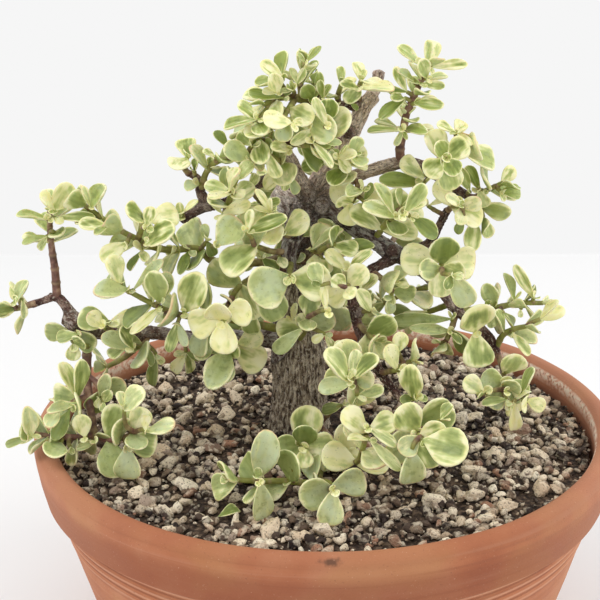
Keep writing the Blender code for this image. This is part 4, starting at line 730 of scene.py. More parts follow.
def in_bowl(point):
    """Whether a point is in the soil or in the bowl's wall, or too near to them for a leaf."""
    out = math.hypot(point.x, point.y)
    if out < RIM_RADIUS - RIM_THICKNESS - BOWL_CLEAR:
        return point.z < mound_height(out) + SOIL_CLEAR
    return out < RIM_RADIUS + BOWL_CLEAR and point.z < BOWL_HEIGHT + BOWL_CLEAR


def open_side(point):
    """The direction that a blade at a point turns its upper face to: outwards, front or back, and up."""
    return Vector((0.35 * point.x, point.y - 0.01, 0.03)).normalized()


def leaf_at(spot, ahead, side, twig, turn, lean, size):
    """One leaf at a spot on a twig, from its turn round the twig and its lean off it."""
    out = (Matrix.Rotation(turn, 3, ahead) @ side).normalized()
    line = ahead * math.cos(lean) + out * math.sin(lean)
    face = (ahead * math.sin(lean) - out * math.cos(lean) + open_side(spot) * LEAF_OPEN).normalized()
    face = face * (1 - twig["sky"]) + Vector((0, 0, twig["sky"]))
    face = (face - line * face.dot(line)).normalized()
    return {"root": spot, "line": line, "face": face, "length": size * MM, "young": twig["young"],
            "width": twig["width"], "sky": twig["sky"]}


def is_clear(leaf, walls, others, own):
    """Whether a leaf misses the bowl, all wood and other sprays' twigs and all leaves grown so far."""
    reach = leaf["length"]
    middle = leaf["root"] + leaf["line"] * reach / 2
    if any(in_bowl(leaf_point(leaf, along, across, 0)) for along, across in LEAF_RING):
        return False
    skin = leaf_ghost(leaf, TWIG_CLEAR)
    if any(wall.find_nearest(middle, reach)[0] and wall.overlap(skin) for wall in walls):
        return False
    outer = leaf_ghost(leaf, OWN_CLEAR)
    for other in others:
        if (other["middle"] - middle).length < reach + other["length"]:
            mine = other["spray"] == own
            if other["outer" if mine else "skin"].overlap(outer if mine else skin):
                return False
    leaf.update(middle=middle, skin=skin, outer=outer, spray=own)
    return True


def grow_spray(name, twigs, walls, leaves):
    """Opposite leaves up every twig of a spray, each pair a quarter turn on from the one below it."""
    draw = random.Random(name)
    for twig in twigs:
        path = stem_path(twig)
        start, ahead = along_path(path, 0)
        side = ahead.cross((start - EYE).normalized())
        side = side if side.length > END_ON else RIGHT
        for pair in range(twig["pairs"]):
            rise = pair / max(twig["pairs"] - 1, 1)
            spot, ahead = along_path(path, twig["first"] + (TOP_PAIR - twig["first"]) * rise)
            side = (side - ahead * side.dot(ahead)).normalized()
            turn = math.radians(twig["roll"] + 90 * pair + draw.uniform(-12, 12))
            lean = twig["lean"] * (1.08 - 0.38 * rise)
            for half_turn in (0, math.pi):
                size = twig["size"] * (1 - twig["taper"] * rise) * draw.uniform(0.9, 1.12)
                lean_now = lean + draw.uniform(-9, 9)
                for more_turn, more_lean, shrink in WAYS_CLEAR:
                    leaf = leaf_at(spot, ahead, side, twig, turn + half_turn + math.radians(more_turn),
                                   math.radians(lean_now + more_lean), size * shrink)
                    if is_clear(leaf, walls, leaves, name):
                        leaves.append(leaf)
                        break


def in_picture(point):
    """Where a point shows in the picture: across and down."""
    off = point - EYE
    away = off.dot(FORWARD)
    return PICTURE / 2 + FOCAL * off.dot(RIGHT) / away, PICTURE / 2 - FOCAL * off.dot(UP) / away


def tuft_path(tuft, bearers, draw):
    """A tuft's twig, from the limb or twig that shows nearest to its end."""
    def gap(bearer):
        across, down = in_picture(bearer)
        off = math.hypot(across - tuft["node"][0], down - tuft["node"][1])
        return off + max(bearer.y, 0) / MM * BACK_SHUN

    root = min(bearers, key=gap)
    node = seen_at(*tuft["node"], root.y / MM - tuft["near"])
    bend = (root + node) / 2 + Vector([draw.uniform(-0.12, 0.12) for _ in range(3)]) * (node - root).length
    return [Vector((*point, radius * MM)) for point, radius in zip((root, bend, node), TUFT_GIRTH)]


def grow_tufts(name, grown, walls, leaves):
    """The leaves of tufts, from each twig's end towards their tips in the picture."""
    draw = random.Random(name)
    for path, tuft in grown:
        node = path[-1].to_3d()
        for across, down, width in tuft["tips"]:
            tip = seen_at(across, down, node.y / MM)
            flat = tip - node
            lean_now = draw.uniform(-8, 24)
            roll = draw.uniform(-0.6, 0.6)
            for lean, turn, shrink in WAYS_TUFT:
                towards = (EYE - node).normalized()
                line = Matrix.Rotation(math.radians(turn), 3, towards) @ flat
                line = line.normalized() + towards * math.tan(math.radians(min(lean + lean_now, 66)))
                length = flat.length * shrink * min(line.length, 1.25) / (1 - LEAF_SUNK)
                line.normalize()
                face = towards + Vector((0, 0, 0.5)) + line.cross(towards) * roll
                face = (face - line * face.dot(line)).normalized()
                leaf = {"root": node, "line": line, "face": face, "length": length, "young": tuft["young"],
                        "width": width / min(line.length, 1), "sky": TUFT_SKY}
                if is_clear(leaf, walls, leaves, name):
                    leaves.append(leaf)
                    break


def grow_small(name, grown, walls, leaves):
    """Each twig's tiny end pair, and leaflets in the axils of some of its leaves."""
    draw = random.Random("small " + name)
    own = [leaf for leaf in leaves if leaf["spray"] == name]
    small = []
    for path, twig in grown:
        spot, ahead = along_path(path, 1)
        side = Matrix.Rotation(draw.uniform(0, math.pi), 3, ahead) @ ahead.orthogonal().normalized()
        for half_turn in (0, math.pi):
            lean = math.radians(draw.uniform(14, 34))
            small.append(leaf_at(spot, ahead, side, twig, half_turn, lean, draw.uniform(*BUD_SIZE)))
    for leaf in own:
        if draw.random() < AXIL_SHARE:
            ahead = (leaf["face"] + leaf["line"] * 0.6).normalized()
            side = ahead.cross(leaf["face"].cross(leaf["line"])).normalized()
            for turn in (0, math.pi) if draw.random() < 0.5 else (0,):
                turn += draw.uniform(-0.5, 0.5) + math.pi / 2
                small.append(leaf_at(leaf["root"] + ahead * MM, ahead, side, leaf, turn, 0.6,
                                     draw.uniform(*AXIL_SIZE)))
    for leaf in small:
        leaf["young"] = draw.uniform(0.5, 1)
        if is_clear(leaf, walls, leaves, name):
            leaves.append(leaf)


def fallen_leaf():
    """A leaf that has dropped onto the soil."""
    spot = seen_at(*FALLEN_LEAF)
    spot.z = soil_height(spot.x, spot.y) + FALLEN_LIFT
    line = Vector((0.8, 0.55, 0.1)).normalized()
    face = Vector((0.1, -0.25, 1))
    face = (face - line * face.dot(line)).normalized()
    return {"root": spot, "line": line, "face": face, "length": FALLEN_LENGTH, "width": 0.6, "young": 0.2}


def grow_bush():
    """The frame's own leaves by its own rule, then the tufts, the rear twigs and what is tiny.

    Gives every shoot's twigs as (route, its making), the leaves, and the test surfaces of all that
    the large stones keep clear of.
    """
    wood = [tube_ghost(wood_path(points), TUBE_MARGIN) for points in WOOD.values()]
    shoots = {name: [(stem_path(twig), twig) for twig in spray] for name, spray in SPRAYS.items()}
    twigs = {name: [tube_ghost(path, TUBE_MARGIN) for path, _ in grown] for name, grown in shoots.items()}
    leaves = []

    def walls_of(name):
        return wood + [ghost for other, ghosts in twigs.items() if other != name for ghost in ghosts]

    for name, spray in SPRAYS.items():
        grow_spray(name, spray, walls_of(name), leaves)
    solids = wood + [leaf["skin"] for leaf in leaves]
    solids += [ghost for ghosts in twigs.values() for ghost in ghosts]
    routes = [wood_path(points) for points in WOOD.values()]
    routes += [path for grown in shoots.values() for path, _ in grown]
    bearers = [Vector(point[:3]) for path in routes for point in resample(path, BEARER_STEP)[0]]
    for name, tufts in TUFTS.items():
        draw = random.Random("twigs " + name)
        shoots[name] = [(tuft_path(tuft, bearers, draw), tuft) for tuft in tufts]
        twigs[name] = [tube_ghost(path, TUFT_MARGIN) for path, _ in shoots[name]]
    for name in TUFTS:
        grow_tufts(name, shoots[name], walls_of(name), leaves)
    for name, spray in REAR.items():
        shoots[name] = [(stem_path(twig), twig) for twig in spray]
        twigs[name] = [tube_ghost(path, TUBE_MARGIN) for path, _ in shoots[name]]
        grow_spray(name, spray, walls_of(name), leaves)
    for name, grown in shoots.items():
        grow_small(name, grown, walls_of(name), leaves)
    return shoots, leaves, solids + [leaf_ghost(fallen_leaf(), 0)]


def resample(path, step):
    """Points at equal steps along a smooth curve through a route, radius in the fourth coordinate."""
    fine = smooth_path(path, 8)
    spans = [(end - start).to_3d().length for start, end in zip(fine, fine[1:])]
    reached = np.concatenate([[0], np.cumsum(spans)])
    count = max(int(reached[-1] / step), 3)
    places = np.linspace(0, reached[-1], count + 1)
    table = np.array(fine)
    return np.stack([np.interp(places, reached, table[:, column]) for column in range(4)], axis=1), places


def carried_frames(points):
    """Two directions square to a route at each of its points, turning with it as little as they can."""
    ahead = np.gradient(points[:, :3], axis=0)
    ahead /= np.linalg.norm(ahead, axis=1)[:, None]
    side = np.array(Vector(ahead[0]).orthogonal().normalized())
    sides = []
    for direction in ahead:
        side = side - direction * side.dot(direction)
        side = side / np.linalg.norm(side)
        sides.append(side)
    sides = np.array(sides)
    return ahead, sides, np.cross(ahead, sides)


def linked(name, data):
    """An object for its data, put in the scene."""
    item = bpy.data.objects.new(name, data)
    bpy.context.scene.collection.objects.link(item)
    return item


def set_mark(mesh, name, values):
    """Gives each corner of a mesh three values, which its material reads by name."""
    layer = mesh.attributes.new(name, "FLOAT_VECTOR", "POINT")
    layer.data.foreach_set("vector", np.asarray(values, np.float32).ravel())


def coat(mesh, look):
    """Gives a mesh one material and a smooth skin."""
    mesh.materials.clear()
    mesh.materials.append(look)
    mesh.shade_smooth()


def tree_of(points):
    """A search tree of points."""
    tree = KDTree(len(points))
    for number, point in enumerate(points):
        tree.insert(point, number)
    tree.balance()
    return tree


def evaluated(item):
    """A new mesh of an object's shape with its modifiers applied."""
    bpy.context.view_layer.update()
    return bpy.data.meshes.new_from_object(item.evaluated_get(bpy.context.evaluated_depsgraph_get()))


class Pile:
    """Collects the corners, faces and marks of many small shapes that make up one mesh."""

    def __init__(self):
        self.corners, self.faces, self.slots, self.marks = [], [], [], {}
        self.count = 0

    def add(self, corners, faces, slot=0, **marks):
        self.faces += [tuple(number + self.count for number in face) for face in faces]
        self.slots += [slot] * len(faces)
        self.corners.append(corners)
        for name, values in marks.items():
            self.marks.setdefault(name, []).append(values)
        self.count += len(corners)

    def piece(self, name, materials):
        """The finished piece, riding on the one body."""
        mesh = bpy.data.meshes.new(name)
        mesh.from_pydata(np.concatenate(self.corners).tolist(), [], self.faces)
        for material in materials:
            mesh.materials.append(material)
        mesh.polygons.foreach_set("material_index", self.slots)
        for mark, values in self.marks.items():
            set_mark(mesh, mark, np.concatenate(values))
        mesh.shade_smooth()
        return dressed(name, mesh)


def dressed(name, mesh):
    """An object for a mesh that rides on the body."""
    item = linked(name, mesh)
    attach(item, "root")
    return item


def tube_shell(points, sides):
    """Corners and faces of a tube with rounded ends, and each corner's ring number."""
    ahead, side, lift = carried_frames(points)
    rings = len(points)
    turns = (np.arange(sides) * TURN / sides)[None, :, None]
    round_part = side[:, None, :] * np.cos(turns) + lift[:, None, :] * np.sin(turns)
    corners = (points[:, None, :3] + round_part * points[:, None, 3:]).reshape(-1, 3)
    ends = np.array([points[0, :3] - ahead[0] * points[0, 3] * 0.5,
                     points[-1, :3] + ahead[-1] * points[-1, 3] * 0.5])
    faces = []
    for ring in range(rings - 1):
        base = ring * sides
        for corner in range(sides):
            after = (corner + 1) % sides
            faces.append((base + corner, base + after, base + sides + after, base + sides + corner))
    last = (rings - 1) * sides
    for corner in range(sides):
        after = (corner + 1) % sides
        faces.append((rings * sides, after, corner))
        faces.append((rings * sides + 1, last + corner, last + after))
    ring_numbers = np.concatenate([np.repeat(np.arange(rings), sides), [0, rings - 1]])
    return np.concatenate([corners, ends]), faces, ring_numbers


def leaf_template():
    """Along, across and height shares of a leaf's corners on a sphere-like net, and its faces."""
    spots = [(0.0, 0.0, 0.0)]
    for station in range(1, LEAF_STATIONS + 1):
        along = (1 - math.cos(math.pi * station / (LEAF_STATIONS + 1))) / 2
        for corner in range(LEAF_SIDES):
            turn = TURN * corner / LEAF_SIDES
            spots.append((along, math.cos(turn), math.sin(turn)))
    spots.append((1.0, 0.0, 0.0))
    faces = []
    tip = len(spots) - 1
    last = 1 + (LEAF_STATIONS - 1) * LEAF_SIDES
    for corner in range(LEAF_SIDES):
        after = (corner + 1) % LEAF_SIDES
        faces.append((0, 1 + corner, 1 + after))
        faces.append((tip, last + after, last + corner))
        for base in range(1, last, LEAF_SIDES):
            above = base + LEAF_SIDES
            faces.append((base + corner, above + corner, above + after, base + after))
    return np.array(spots), faces


LEAF_SPOTS, LEAF_FACES = leaf_template()


def leaf_shell(leaf, draw):
    """Corners and marks of one thick, rounded leaf blade with its own outline, hollow and waves."""
    along, round_across, round_high = LEAF_SPOTS.T
    wedge = draw.uniform(0.95, 1.35)
    tip = draw.uniform(0.44, 0.56)
    width = along ** wedge * (1 - along) ** tip
    width = width / (wedge ** wedge * tip ** tip / (wedge + tip) ** (wedge + tip))
    skew = draw.uniform(-0.08, 0.08)
    across = np.sign(round_across) * np.abs(round_across) ** 0.85 * width * draw.uniform(0.9, 1.02)
    across = across + skew * np.sin(math.pi * along)
    thick = (0.36 + 0.64 * np.sin(math.pi * np.clip(along * 1.25, 0, 1) / 2) ** 2) * (1 - along ** 7) ** 0.5
    hollow = draw.uniform(0.1, 0.75)
    height = np.abs(round_high) ** 0.7 * thick
    height = np.where(round_high > 0, height * (1 - hollow * (1 - np.abs(round_across)) * thick), -height)
    wave = 0.025 * np.sin(TURN * (1.3 * along + draw.random())) * across * np.abs(across)
    fold = draw.uniform(-0.01, 0.09)
    curl = draw.uniform(-0.03, 0.05)
    lift = (LEAF_CUP + fold) * across ** 2 - (LEAF_ARCH + curl) * along ** 2 + wave
    side = leaf["face"].cross(leaf["line"])
    size = leaf["length"]
    corners = (np.array(leaf["root"])[None] + np.outer((along - LEAF_SUNK) * size, leaf["line"])
               + np.outer(across * leaf["width"] / 2 * size, side)
               + np.outer((lift + height * LEAF_THICKNESS / 2) * size, leaf["face"]))
    inside = np.minimum((1 - np.abs(round_across)) * np.maximum(width, 0.55) * leaf["width"] / 2, 1 - along)
    rim = 1 - np.clip(inside / (draw.uniform(0.16, 0.5) * leaf["width"]), 0, 1)
    seed = np.full(len(along), draw.random())
    cream = min(max(leaf["young"] * 0.75 + draw.gauss(0.08, 0.2), 0), 1)
    spot = np.stack([along, across, seed], axis=1)
    look = np.stack([rim, np.full(len(along), cream), (round_high < 0) * 1.0], axis=1)
    return corners, spot, look


# Each finished piece of foliage, and the spray that it starts with; it ends where the next one starts
BED_STARTS = {"foliage_crown": "crown_left", "foliage_right_top": "mast", "foliage_right": "curled",
              "foliage_middle": "centre_pale", "foliage_left": "left_fan", "foliage_far_left": "far_up",
              "foliage_low": "front_rosette", "foliage_back": "back_high"}
# How green a spray's twigs are, where they aren't mostly brown
TWIG_GREEN = {"green_twig": 0.95, "long_arm": 0.55, "right_end": 0.7, "right_end_low": 0.7,
              "long_leaves": 0.9, "back_green": 0.9, "big_centre": 0.8, "left_fan": 0.8, "upper_left": 0.6,
              "crown_left": 0.6, "trunk_front": 0.9, "mid_fan": 0.8, "low_runner": 0.6, "drop": 0.1,
              "mast": 0.1, "far_up": 0.1}
TWIG_GREEN_ELSE = 0.4


def snapped(leaf, tree):
    """A leaf with its root moved onto the smooth line of its twig."""
    spot, _, _ = tree.find(leaf["root"])
    return dict(leaf, root=leaf["root"] + (spot - leaf["root"]) * 0.9)


def foliage_beds():
    """The sprays, tufts or rear twigs that make up each finished piece of foliage."""
    names = list(SPRAYS)
    starts = [names.index(first) for first in BED_STARTS.values()] + [len(names)]
    beds = {bed: names[start:end] for bed, start, end in zip(BED_STARTS, starts, starts[1:])}
    return {**beds, "foliage_tufts": list(TUFTS), "foliage_rear": list(REAR)}


def add_twig(pile, path, green, draw):
    """One fine twig with its ring scars; gives the points along its middle."""
    points, places = resample(path, TWIG_STEP)
    scars = np.zeros(len(points))
    spacing = draw.uniform(5, 7) * MM
    for scar in np.arange(spacing, places[-1], spacing):
        scars += np.exp(-((places - scar) / (0.5 * MM)) ** 2)
    points[:, 3] *= 1 + 0.16 * scars
    corners, faces, rings = tube_shell(points, TWIG_SIDES)
    grain = np.stack([np.full(len(rings), green + 0.45 * (rings / rings.max() - 0.4)),
                      places[rings] / MM, scars[rings]], axis=1)
    pile.add(corners, faces, 1, leaf_spot=grain, leaf_look=grain)
    return points[:, :3].tolist()


def build_foliage(shoots, leaves, leaf_look, twig_look):
    """Every spray's fine twigs and leaves, gathered in one piece for each part of the bush."""
    for bed, names in foliage_beds().items():
        pile = Pile()
        for name in names:
            draw = random.Random("fine " + name)
            green = TWIG_GREEN.get(name, TWIG_GREEN_ELSE)
            lines = []
            for path, _ in shoots[name]:
                lines += add_twig(pile, path, green, draw)
            tree = tree_of(lines)
            for leaf in (leaf for leaf in leaves if leaf["spray"] == name):
                corners, spot, look = leaf_shell(snapped(leaf, tree), draw)
                pile.add(corners, LEAF_FACES, 0, leaf_spot=spot, leaf_look=look)
        item = pile.piece(bed, [leaf_look, twig_look])
        if bed in BED_STARTS:
            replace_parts(item, *names)


def build_fallen_leaf(leaf_look):
    """The dropped leaf's piece."""
    pile = Pile()
    corners, spots, look = leaf_shell(fallen_leaf(), random.Random("fallen"))
    pile.add(corners, LEAF_FACES, leaf_spot=spots, leaf_look=look)
    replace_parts(pile.piece("leaf_on_soil", [leaf_look]), "fallen_leaf")


def fused(item, voxel):
    """A piece's separate tubes fused into one even skin."""
    remesh = item.modifiers.new("fuse", "REMESH")
    remesh.mode = "VOXEL"
    remesh.voxel_size = voxel
    mesh = evaluated(item)
    item.modifiers.clear()
    return mesh


def carve(vertex, tree, line, frames, places_along):
    """Moves a corner of the wood out or in by its furrows, knobs and ring scars; gives its marks."""
    near = min(tree.find_n(vertex.co, 8), key=lambda found: found[2] - line[found[1]][3])[1]
    ahead, side, lift = frames[near]
    off = np.array(vertex.co) - line[near, :3]
    girth = line[near, 3]
    place = Vector((off @ side, off @ lift, places_along[near] + off @ ahead))
    stretched = Vector((place.x, place.y, place.z * 0.3))
    furrow = 1 - 2.2 * abs(noise.noise(stretched * 360)) - 0.9 * abs(noise.noise(stretched * 900))
    knob = max(noise.noise(vertex.co * 120) - 0.1, 0) * 2.4
    pitch = RING_PITCH * (1 + 0.3 * noise.noise(Vector((0, 0, place.z * 40))))
    ring = max(math.cos(place.z * TURN / pitch), 0) ** 10
    thick = min(max((girth - 2.6 * MM) / (3.5 * MM), 0), 1)
    rise = furrow * (0.2 + 0.5 * thick) + knob * (0.35 + 0.6 * thick) + ring * 0.3 * (1 - thick) - 0.2
    vertex.co += Vector(off - ahead * (off @ ahead)).normalized() * (rise * MM)
    return (place.x / MM, place.y / MM, place.z / MM), (girth / MM, furrow, ring)


def build_wood(look):
    """Trunk and limbs as one skin, carved with furrows, knobs and ring scars that follow each limb."""
    pile = Pile()
    lines, frames, places_along = [], [], []
    for number, (name, points) in enumerate({**WOOD, **KNOTS}.items()):
        line, places = resample(wood_path(points), WOOD_STEP)
        phase = random.Random("wood " + name).uniform(0, 100)
        swell = [noise.noise(Vector((place * 70, phase, 0))) for place in places]
        line[:, 3] *= 1 + 0.09 * np.array(swell)
        corners, faces, _ = tube_shell(line, WOOD_SIDES)
        pile.add(corners, faces)
        lines.append(line)
        frames.append(np.stack(carried_frames(line), axis=1))
        places_along.append(places + number * 0.37)
    solid = pile.piece("wood", [look])
    mesh = fused(solid, WOOD_VOXEL)
    line, frames, places_along = (np.concatenate(parts) for parts in (lines, frames, places_along))
    tree = tree_of(line[:, :3])
    grain, marks = zip(*[carve(vertex, tree, line, frames, places_along) for vertex in mesh.vertices])
    set_mark(mesh, "bark_grain", grain)
    set_mark(mesh, "bark_look", marks)
    coat(mesh, look)
    solid.data = mesh
    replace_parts(solid, "trunk")


def turned(name, profile, steps):
    """A turned solid from an axis-to-axis profile of (radius, height) points."""
    mesh = bpy.data.meshes.new(name)
    corners = [(radius, 0, height) for radius, height in profile]
    mesh.from_pydata(corners, [(step, step + 1) for step in range(len(corners) - 1)], [])
    item = linked(name, mesh)
    screw = item.modifiers.new("turn", "SCREW")
    screw.steps = screw.render_steps = steps
    screw.use_merge_vertices = True
    screw.merge_threshold = 0.00001
    return item


def as_plain(item):
    """A new mesh of an object's evaluated shape, its faces outwards; the object goes."""
    mesh = evaluated(item)
    work = bmesh.new()
    work.from_mesh(mesh)
    bmesh.ops.remove_doubles(work, verts=work.verts, dist=0.000001)
    bmesh.ops.recalc_face_normals(work, faces=work.faces)
    work.to_mesh(mesh)
    work.free()
    bpy.data.objects.remove(item)
    return mesh


def body_radius(height):
    """Outer radius of the bowl's tapering body at a height."""
    return BASE_RADIUS + (NECK_RADIUS - BASE_RADIUS) * height / (BOWL_HEIGHT - COLLAR_HEIGHT)


def inner_radius(height):
    """Inner radius of the bowl at a height: down the collar, then along the tapering wall."""
    return min(RIM_RADIUS - RIM_THICKNESS, body_radius(height) - WALL)


def arc(middle_radius, middle_height, size, start, end, steps):
    """Profile points round an arc, angles in degrees from straight out, turning upwards."""
    for step in range(steps + 1):
        angle = math.radians(start + (end - start) * step / steps)
        yield middle_radius + size * math.cos(angle), middle_height + size * math.sin(angle)


def bowl_profile():
    """The bowl's outline from the base's middle, up the inside and down the outside."""
    half = RIM_THICKNESS / 2
    collar_foot = BOWL_HEIGHT - COLLAR_HEIGHT
    profile = list(arc(RIM_RADIUS - half, BOWL_HEIGHT - half, half, 90, 0, 8))
    collar_top = BOWL_HEIGHT - half
    for step in range(1, 10):
        share = step / 10
        bulge = 0.5 * MM * math.sin(math.pi * share)
        profile.append((RIM_RADIUS + (COLLAR_FOOT_RADIUS - RIM_RADIUS) * share + bulge,
                        collar_top + (collar_foot + COLLAR_ROUND - collar_top) * share))
    profile += arc(COLLAR_FOOT_RADIUS - COLLAR_ROUND, collar_foot + COLLAR_ROUND, COLLAR_ROUND, 0, -90, 5)
    for step in range(RIDGES * 8 + 1):
        height = collar_foot - RIDGE_DROP - step * RIDGE_PITCH / 8
        wave = 0.5 - 0.5 * math.cos(TURN * step / 8)
        fade = 1 - step / (RIDGES * 8) * 0.5
        profile.append((body_radius(height) + RIDGE_DEPTH * (wave * 1.4 - 0.9) * fade, height))
    low = collar_foot - RIDGES * RIDGE_PITCH
    for step in range(1, 16):
        height = low + (5 * MM - low) * step / 16
        profile.append((body_radius(height), height))
    profile += arc(BASE_RADIUS - BASE_ROUND, BASE_ROUND, BASE_ROUND, 0, -90, 5)
    profile += [(BASE_RADIUS * 0.6, 0), (0, 0), (0, FLOOR)]
    profile += [(BASE_RADIUS * 0.6, FLOOR), (inner_radius(FLOOR) - FLOOR_SLOPE, FLOOR),
                (inner_radius(FLOOR + FLOOR_SLOPE), FLOOR + FLOOR_SLOPE)]
    for step in range(1, 9):
        height = FLOOR + FLOOR_SLOPE + (collar_foot - FLOOR - FLOOR_SLOPE) * step / 8
        profile.append((inner_radius(height), height))
    for step in range(1, 6):
        profile.append((RIM_RADIUS - RIM_THICKNESS, collar_foot + (collar_top - collar_foot) * step / 5))
    return profile + list(arc(RIM_RADIUS - half, BOWL_HEIGHT - half, half, 180, 90, 8))[1:]


def pierced(bowl):
    """The bowl's mesh with its drain holes."""
    holes = []
    for number in range(DRAIN_HOLES):
        angle = TURN * (number + 0.5) / DRAIN_HOLES
        place = (DRAIN_CIRCLE * math.cos(angle), DRAIN_CIRCLE * math.sin(angle), FLOOR / 2)
        bpy.ops.mesh.primitive_cylinder_add(vertices=32, radius=DRAIN_RADIUS, depth=FLOOR * 2,
                                            location=place)
        holes.append(bpy.context.object)
        cut = bowl.modifiers.new("hole", "BOOLEAN")
        cut.operation = "DIFFERENCE"
        cut.object = holes[-1]
    mesh = as_plain(bowl)
    for hole in holes:
        bpy.data.objects.remove(hole)
    return mesh


def build_bowl(look):
    """The terracotta bowl with its rolled rim, collar, throwing ridges and drain holes."""
    mesh = pierced(turned("bowl_body", bowl_profile(), BOWL_STEPS))
    marks = []
    for vertex in mesh.vertices:
        x, y, z = vertex.co
        out = math.hypot(x, y)
        inside = out < inner_radius(z) + 0.6 * MM and z > FLOOR + MM
        uneven = noise.noise(Vector((x, y, z)) * 22) * 0.5
        uneven += noise.noise(Vector((x * 12, y * 12, z * 150))) * 0.16
        if out > 0.05 and not inside and z > 4 * MM:
            grown = 1 + uneven * MM / out
            vertex.co.x *= grown
            vertex.co.y *= grown
        if z > BOWL_HEIGHT - 2 * MM:
            vertex.co.z += noise.noise(Vector((x, y, 0)) * 30) * 0.35 * MM - 0.35 * MM
        marks.append((1.0 if inside else 0.0, z / BOWL_HEIGHT, 0.0))
    set_mark(mesh, "bowl_look", marks)
    coat(mesh, look)
    mesh.set_sharp_from_angle(angle=math.radians(50))
    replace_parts(dressed("terracotta_bowl", mesh), "bowl")


def soil_height(x, y):
    """Height of the soil's lumpy surface."""
    lump = noise.noise(Vector((x, y, 0)) * 90) + 0.6 * noise.noise(Vector((x, y, 7)) * 210)
    return mound_height(math.hypot(x, y)) + SOIL_RELIEF * lump


def build_soil_bed(look):
    """The soil that fills the bowl, with a crumbly top."""
    spacing = 0.5 * MM
    edge = inner_radius(SOIL_LEVEL) - spacing
    collar_foot = BOWL_HEIGHT - COLLAR_HEIGHT
    rings = 70
    profile = [(edge * ring / rings, SOIL_LEVEL) for ring in range(rings + 1)]
    profile += [(inner_radius(collar_foot) - spacing, collar_foot),
                (inner_radius(FLOOR + FLOOR_SLOPE) - spacing, FLOOR + FLOOR_SLOPE),
                (inner_radius(FLOOR) - FLOOR_SLOPE - spacing, FLOOR + spacing), (0, FLOOR + spacing)]
    mesh = as_plain(turned("soil_turned", profile, SOIL_STEPS))
    for vertex in mesh.vertices:
        x, y, z = vertex.co
        if z > SOIL_LEVEL - MM and math.hypot(x, y) < edge - MM:
            crumb = noise.noise(Vector((x, y, 3)) * 420) + 0.5 * noise.noise(Vector((x, y, 9)) * 1000)
            vertex.co.z = soil_height(x, y) + 0.7 * MM * crumb - 0.5 * MM
    coat(mesh, look)
    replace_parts(dressed("soil_bed", mesh), "soil")


def stone_places(walls):
    """Where the large stones lie, on a rough grid and clear of walls: (x, y, radius, turn)."""
    draw = random.Random(5)
    edge = inner_radius(SOIL_LEVEL)
    foot = seen_at(*WOOD["trunk"][0][:3])
    rows = int(edge / STONE_PITCH) + 2
    places = []
    for row in range(-rows, rows + 1):
        for column in range(-rows, rows + 1):
            x = (column + row % 2 / 2 + draw.uniform(-STONE_STRAY, STONE_STRAY)) * STONE_PITCH
            y = (row * math.sqrt(0.75) + draw.uniform(-STONE_STRAY, STONE_STRAY)) * STONE_PITCH
            radius = draw.uniform(*STONE_RADIUS)
            turn = draw.uniform(0, TURN)
            spot = Vector((x, y, soil_height(x, y)))
            if math.hypot(x, y) < edge - 1.4 * radius and math.hypot(x - foot.x, y - foot.y) > STONE_PITCH \
                    and not any(wall.find_nearest(spot, STONE_CLEAR * radius)[0] for wall in walls):
                places.append((x, y, radius, turn))
    return places


def stone_shapes(count, subdivisions, seed):
    """A few rough pebble shapes of radius 1, as corner arrays, and their shared faces."""
    shapes, faces = [], []
    for number in range(count):
        work = bmesh.new()
        bmesh.ops.create_icosphere(work, subdivisions=subdivisions, radius=1)
        offset = Vector((seed, number * 7.3, 0))
        draw = random.Random(seed + number)
        cuts = [(Vector([draw.gauss(0, 1) for _ in range(3)]).normalized(), draw.uniform(0.55, 0.85))
                for _ in range(STONE_FLATS)]
        for vertex in work.verts:
            coarse, fine = noise.noise(vertex.co * 1.1 + offset), noise.noise(vertex.co * 2.6 + offset)
            vertex.co *= 1.1 + (coarse * 0.5 + fine * 0.35)
            for direction, reach in cuts:
                vertex.co -= direction * max(vertex.co.dot(direction) - reach, 0) * 0.85
        shapes.append(np.array([vertex.co for vertex in work.verts]))
        faces = [tuple(corner.index for corner in face.verts) for face in work.faces]
        work.free()
    return shapes, faces


def soil_spot(across, down):
    """Where the sight line through a place in the picture meets the soil."""
    ray = sight_line(across, down)
    return EYE + ray * ((SOIL_LEVEL + SOIL_MOUND - EYE.z) / ray.z)


def grain_spots(count, sizes, bias, seed, draw, placed, bare):
    """Places for grains, the given ones first, each (x, y, size, hue); few lie on bare patches."""
    edge = RIM_RADIUS - RIM_THICKNESS - 1.0 * MM
    spots = list(placed)
    while len(spots) < count:
        angle = draw.uniform(0, TURN)
        out = edge * math.sqrt(draw.random())
        x, y = out * math.cos(angle), out * math.sin(angle)
        size = sizes[0] + (sizes[1] - sizes[0]) * draw.random() ** bias
        lush = noise.noise(Vector((x, y, seed)) * 28)
        if out + size * 0.5 * MM < edge and math.hypot(x - TRUNK_FOOT[0], y - TRUNK_FOOT[1]) > TRUNK_CLEAR \
                and draw.random() < 0.62 + 0.9 * lush \
                and not any(math.hypot(x - across, y - ahead) < reach and draw.random() < share
                            for across, ahead, reach, share in bare):
            spots.append((x, y, size, draw.uniform(0, 1)))
    return spots


